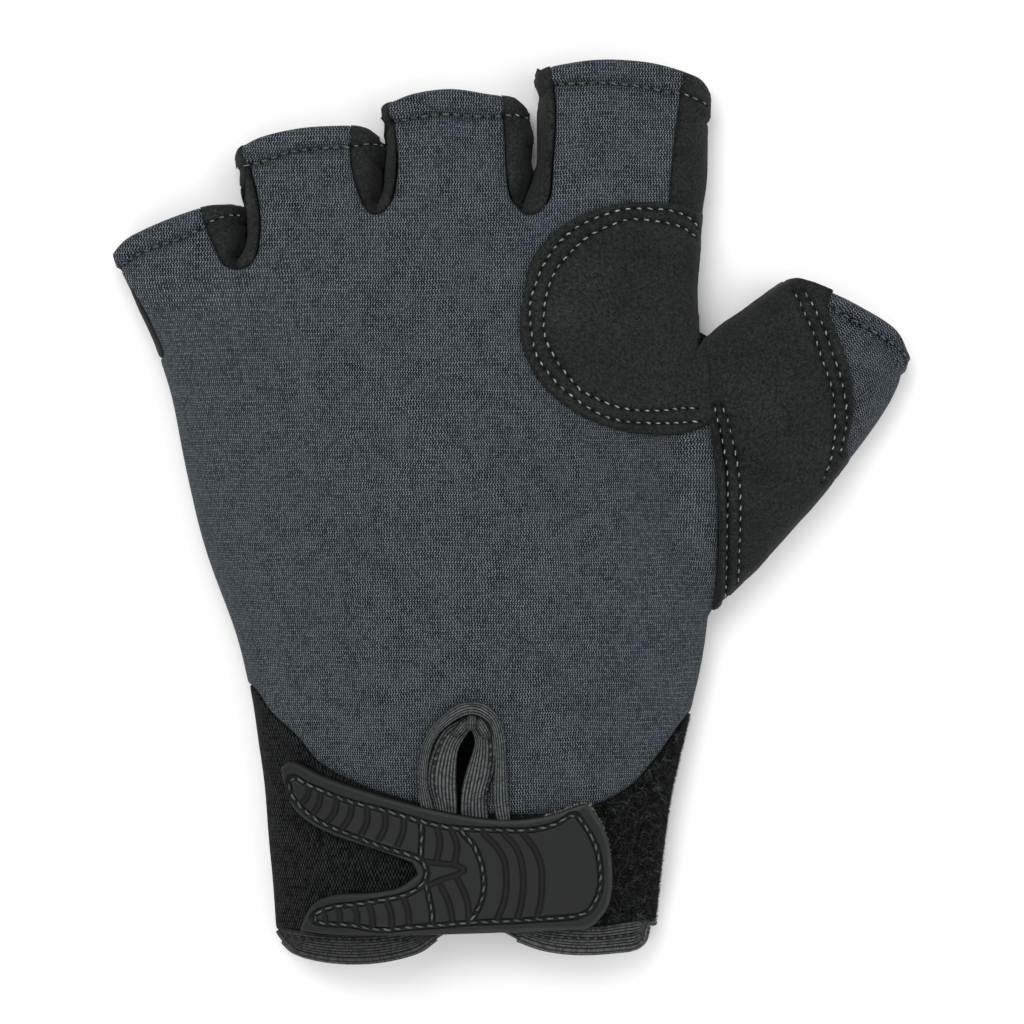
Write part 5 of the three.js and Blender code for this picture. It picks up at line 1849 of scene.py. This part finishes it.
def build_stitches(sizes, paints):
    thread = thread_material("sewing_thread", paints.thread)
    # The hem thread is the sewing thread darkened: painted shade where it sinks into the knit's groove and
    # pits.
    dark = thread_material("hem_thread_shaded", paints.hem_thread_shaded)
    pitch, radius = sizes.stitch_pitch, sizes.thread_diameter / 2
    blacks = list(GUSSETS.values()) + [INDEX_SIDE_PLAN]
    on_knit, on_suede = [], []
    for row in HEM_ROWS:
        for middle, way in stitch_middles(row, pitch):
            black = any(inside(middle[None], plan)[0] for plan in blacks)
            (on_suede if black else on_knit).append((middle, way))
    made = thread_bows("hem_stitches", on_knit, dark, 0.06, 0.6, radius * 1.15, hem_relief, 31)
    dress(made, "black_suede")
    made = thread_bows(
        "gusset_stitches", on_suede, thread, 0.1, 0.5, radius * 0.65, hem_relief, 36, gusset_upper)
    dress(made, "black_suede")
    made = thread_rows("knuckle_stitches", KNUCKLE_ROWS, thread, 1.22, pitch, 0.46, radius, 32)
    dress(made, "black_suede")
    made = thread_rows("thumb_stitches", THUMB_ROWS, thread, 1.22, pitch, 0.42, radius * 0.85, 33)
    dress(made, "black_suede")
    rows = [np.vstack([traced(STRAP_STITCHES, 3), traced(STRAP_STITCHES[:1], 3)])]
    rows += [traced(row, 3) for row in (STRAP_CROSS_UPPER, STRAP_CROSS_LOWER, STRAP_CURVED_STITCHES)]
    # The strap thread is the sewing thread darkened: painted shade of the channel it lies in.
    dull = thread_material("strap_thread_shaded", paints.strap_thread_shaded)
    dress(thread_rows("strap_stitches", rows, dull, 2.95, pitch, 0.72, radius * 1.5, 34), "strap_rubber")
    rows = [traced(ARCH_STITCHES_LEFT, 1), traced(ARCH_STITCHES_RIGHT, 1)]
    rows += [traced(row, 0.7) for row in BINDING_STITCHES]
    black = thread_material("black_thread", paints.black_thread)
    dress(thread_rows("elastic_stitches", rows, black, 0.85, 1.7, 0.55, radius * 1.6, 35), "ribbed_elastic")


# Name, place in metres, side and power
LIGHTS = (
    ("key_light", (-0.35, 0.6, 1.5), 0.9, 14.5),
    ("fill_light", (0.9, -0.1, 1.2), 0.9, 5.0),
    ("back_light", (-0.5, -0.9, 1.0), 0.8, 4.0),
)


def build_stage(sizes, paints):
    count, size = 24, 1.6
    line = np.linspace(-size / 2, size / 2, count)
    x, y = np.meshgrid(line, line, indexing="ij")
    quads = quads_of(np.arange(count * count).reshape(count, count))
    vertices = np.column_stack([x.ravel(), y.ravel(), np.full(x.size, -0.00002)]) / MM
    floor = add_object("studio_floor", vertices, quads, floor_material("studio_floor", paints.floor))
    data = bpy.data.cameras.new("camera")
    data.lens, data.sensor_width = LENS, SENSOR
    data.clip_end = 20
    camera = place_object("camera", data)
    camera.location = (0, 0, (WIDEST + CAMERA_RISE) * MM)
    bpy.context.scene.camera = camera
    for name, spot, size, power in LIGHTS:
        lamp = bpy.data.lights.new(name, "AREA")
        lamp.shape = "SQUARE"
        lamp.size = size
        lamp.energy = power
        made = place_object(name, lamp)
        made.location = spot
        made.rotation_euler = (-made.location.normalized()).to_track_quat("-Z", "Y").to_euler()
    world = bpy.data.worlds.new("studio")
    bpy.context.scene.world = world
    world.use_nodes = True
    background = world.node_tree.nodes["Background"]
    background.inputs[0].default_value = (1, 1, 1, 1)
    background.inputs[1].default_value = sizes.room_light
    bpy.context.scene.view_settings.view_transform = "Standard"


# The add-on

class GloveSizes(bpy.types.PropertyGroup):
    stitch_pitch: bpy.props.FloatProperty(
        name="Stitch pitch", description="Distance between needle holes, in millimetres",
        default=2.1, min=1, max=6)
    thread_diameter: bpy.props.FloatProperty(
        name="Thread", description="Diameter of the sewing thread, in millimetres",
        default=0.3, min=0.1, max=1)
    wale: bpy.props.FloatProperty(
        name="Wale", description="Width of one column of the grey knit, in millimetres",
        default=0.54, min=0.2, max=3)
    course: bpy.props.FloatProperty(
        name="Course", description="Height of one zigzag of the grey knit, in millimetres",
        default=0.96, min=0.2, max=3)
    pile_count: bpy.props.IntProperty(
        name="Pile fibres", description="Number of fibres on the loop fabric",
        default=8000, min=0, max=8200)
    pile_length: bpy.props.FloatProperty(
        name="Pile length", description="Length of a pile fibre, in millimetres",
        default=1.0, min=0.2, max=3)
    strap_mesh: bpy.props.FloatProperty(
        name="Strap mesh", description="Mesh spacing of the moulded strap, in millimetres",
        default=0.3, min=0.15, max=2)
    room_light: bpy.props.FloatProperty(
        name="Room light", description="Strength of the even light round the glove",
        default=0.75, min=0, max=4)


class GlovePaints(bpy.types.PropertyGroup):
    knit: bpy.props.FloatVectorProperty(
        name="Knit", description="Grey heather knit", subtype="COLOR", default=linear(46, 50.5, 56))
    suede: bpy.props.FloatVectorProperty(
        name="Suede", description="Black suede", subtype="COLOR", default=linear(31, 33, 33))
    cuff: bpy.props.FloatVectorProperty(
        name="Cuff knit", description="Black stretch knit", subtype="COLOR", default=linear(19, 20, 20.5))
    pile: bpy.props.FloatVectorProperty(
        name="Loop fabric", description="Black loop fabric", subtype="COLOR", default=linear(15, 16, 16))
    elastic: bpy.props.FloatVectorProperty(
        name="Elastic", description="Elastic tapes at the slit",
        subtype="COLOR", default=linear(47, 50, 50))
    binding: bpy.props.FloatVectorProperty(
        name="Binding", description="Elastic band at the wrist",
        subtype="COLOR", default=linear(33, 34, 34.5))
    rubber: bpy.props.FloatVectorProperty(
        name="Rubber", description="Moulded strap", subtype="COLOR", default=linear(24, 26, 25))
    thread: bpy.props.FloatVectorProperty(
        name="Thread", description="Stitching on suede and rubber",
        subtype="COLOR", default=linear(116, 129, 125))
    # A darker copy of the sewing thread: painted shade for stitches sunk in the strap's channel.
    strap_thread_shaded: bpy.props.FloatVectorProperty(
        name="Strap thread", description="Stitching sunk in the strap",
        subtype="COLOR", default=linear(62, 71, 69))
    # A darker copy of the sewing thread: painted shade for stitches sunk in the knit hems.
    hem_thread_shaded: bpy.props.FloatVectorProperty(
        name="Hem thread", description="Stitching of the knit hems",
        subtype="COLOR", default=linear(64, 75, 72))
    black_thread: bpy.props.FloatVectorProperty(
        name="Black thread", description="Stitching of the elastic",
        subtype="COLOR", default=linear(11, 12, 13))
    floor: bpy.props.FloatVectorProperty(
        name="Floor", description="Studio floor", subtype="COLOR", default=(0.9, 0.9, 0.9))


def settings(context):
    return context.scene.glove_sizes, context.scene.glove_paints


class GLOVE_OT_stage(bpy.types.Operator):
    """Build the floor, the lights and the camera"""
    bl_idname = "glove.stage"
    bl_label = "Stage"

    def execute(self, context):
        build_stage(*settings(context))
        return {"FINISHED"}


class GLOVE_OT_back(bpy.types.Operator):
    """Build the grey knit back of the hand with its turned hems"""
    bl_idname = "glove.back"
    bl_label = "Back of the hand"

    def execute(self, context):
        build_back(*settings(context))
        return {"FINISHED"}


class GLOVE_OT_gussets(bpy.types.Operator):
    """Build the suede gussets between the fingers and the side of the index finger"""
    bl_idname = "glove.gussets"
    bl_label = "Finger gussets"

    def execute(self, context):
        build_gussets(*settings(context))
        return {"FINISHED"}


class GLOVE_OT_palm(bpy.types.Operator):
    """Build the suede palm"""
    bl_idname = "glove.palm"
    bl_label = "Palm"

    def execute(self, context):
        build_palm(*settings(context))
        return {"FINISHED"}


class GLOVE_OT_thumb(bpy.types.Operator):
    """Build the knit thumb and the suede patch round it"""
    bl_idname = "glove.thumb"
    bl_label = "Thumb"

    def execute(self, context):
        build_thumb(*settings(context))
        return {"FINISHED"}


class GLOVE_OT_knuckle_patch(bpy.types.Operator):
    """Build the suede patch over the index knuckle"""
    bl_idname = "glove.knuckle_patch"
    bl_label = "Knuckle patch"

    def execute(self, context):
        build_knuckle_patch(*settings(context))
        return {"FINISHED"}


class GLOVE_OT_cuff(bpy.types.Operator):
    """Build the stretch knit and the loop fabric of the cuff"""
    bl_idname = "glove.cuff"
    bl_label = "Cuff"

    def execute(self, context):
        build_cuff(*settings(context))
        return {"FINISHED"}


class GLOVE_OT_elastic(bpy.types.Operator):
    """Build the ribbed elastic: the binding, the slit's tapes and the arch"""
    bl_idname = "glove.elastic"
    bl_label = "Elastic"

    def execute(self, context):
        build_elastic(*settings(context))
        return {"FINISHED"}


class GLOVE_OT_strap(bpy.types.Operator):
    """Build the moulded strap and its hook tape"""
    bl_idname = "glove.strap"
    bl_label = "Strap"

    def execute(self, context):
        build_strap(*settings(context))
        return {"FINISHED"}


class GLOVE_OT_stitches(bpy.types.Operator):
    """Sew every row of stitches"""
    bl_idname = "glove.stitches"
    bl_label = "Stitches"

    def execute(self, context):
        build_stitches(*settings(context))
        return {"FINISHED"}


OPERATORS = (
    GLOVE_OT_stage, GLOVE_OT_back, GLOVE_OT_gussets, GLOVE_OT_palm, GLOVE_OT_thumb, GLOVE_OT_knuckle_patch,
    GLOVE_OT_cuff, GLOVE_OT_elastic, GLOVE_OT_strap, GLOVE_OT_stitches,
)


class GLOVE_PT_sidebar(bpy.types.Panel):
    """The glove's sizes, colours and pieces"""
    bl_idname = "GLOVE_PT_sidebar"
    bl_label = "Paddling glove"
    bl_space_type = "VIEW_3D"
    bl_region_type = "UI"
    bl_category = "Glove"

    def draw(self, context):
        for operator in OPERATORS:
            self.layout.operator(operator.bl_idname)
        for group in settings(context):
            for name in group.__annotations__:
                self.layout.prop(group, name)


CLASSES = (GloveSizes, GlovePaints) + OPERATORS + (GLOVE_PT_sidebar,)


def register():
    for cls in CLASSES:
        bpy.utils.register_class(cls)
    bpy.types.Scene.glove_sizes = bpy.props.PointerProperty(type=GloveSizes)
    bpy.types.Scene.glove_paints = bpy.props.PointerProperty(type=GlovePaints)


def unregister():
    del bpy.types.Scene.glove_paints
    del bpy.types.Scene.glove_sizes
    for cls in reversed(CLASSES):
        bpy.utils.unregister_class(cls)


def main():
    register()
    bpy.ops.glove.stage()
    bpy.ops.glove.back()
    bpy.ops.glove.gussets()
    bpy.ops.glove.palm()
    bpy.ops.glove.thumb()
    bpy.ops.glove.knuckle_patch()
    bpy.ops.glove.cuff()
    bpy.ops.glove.elastic()
    bpy.ops.glove.strap()
    bpy.ops.glove.stitches()


if __name__ == "__main__":
    main()
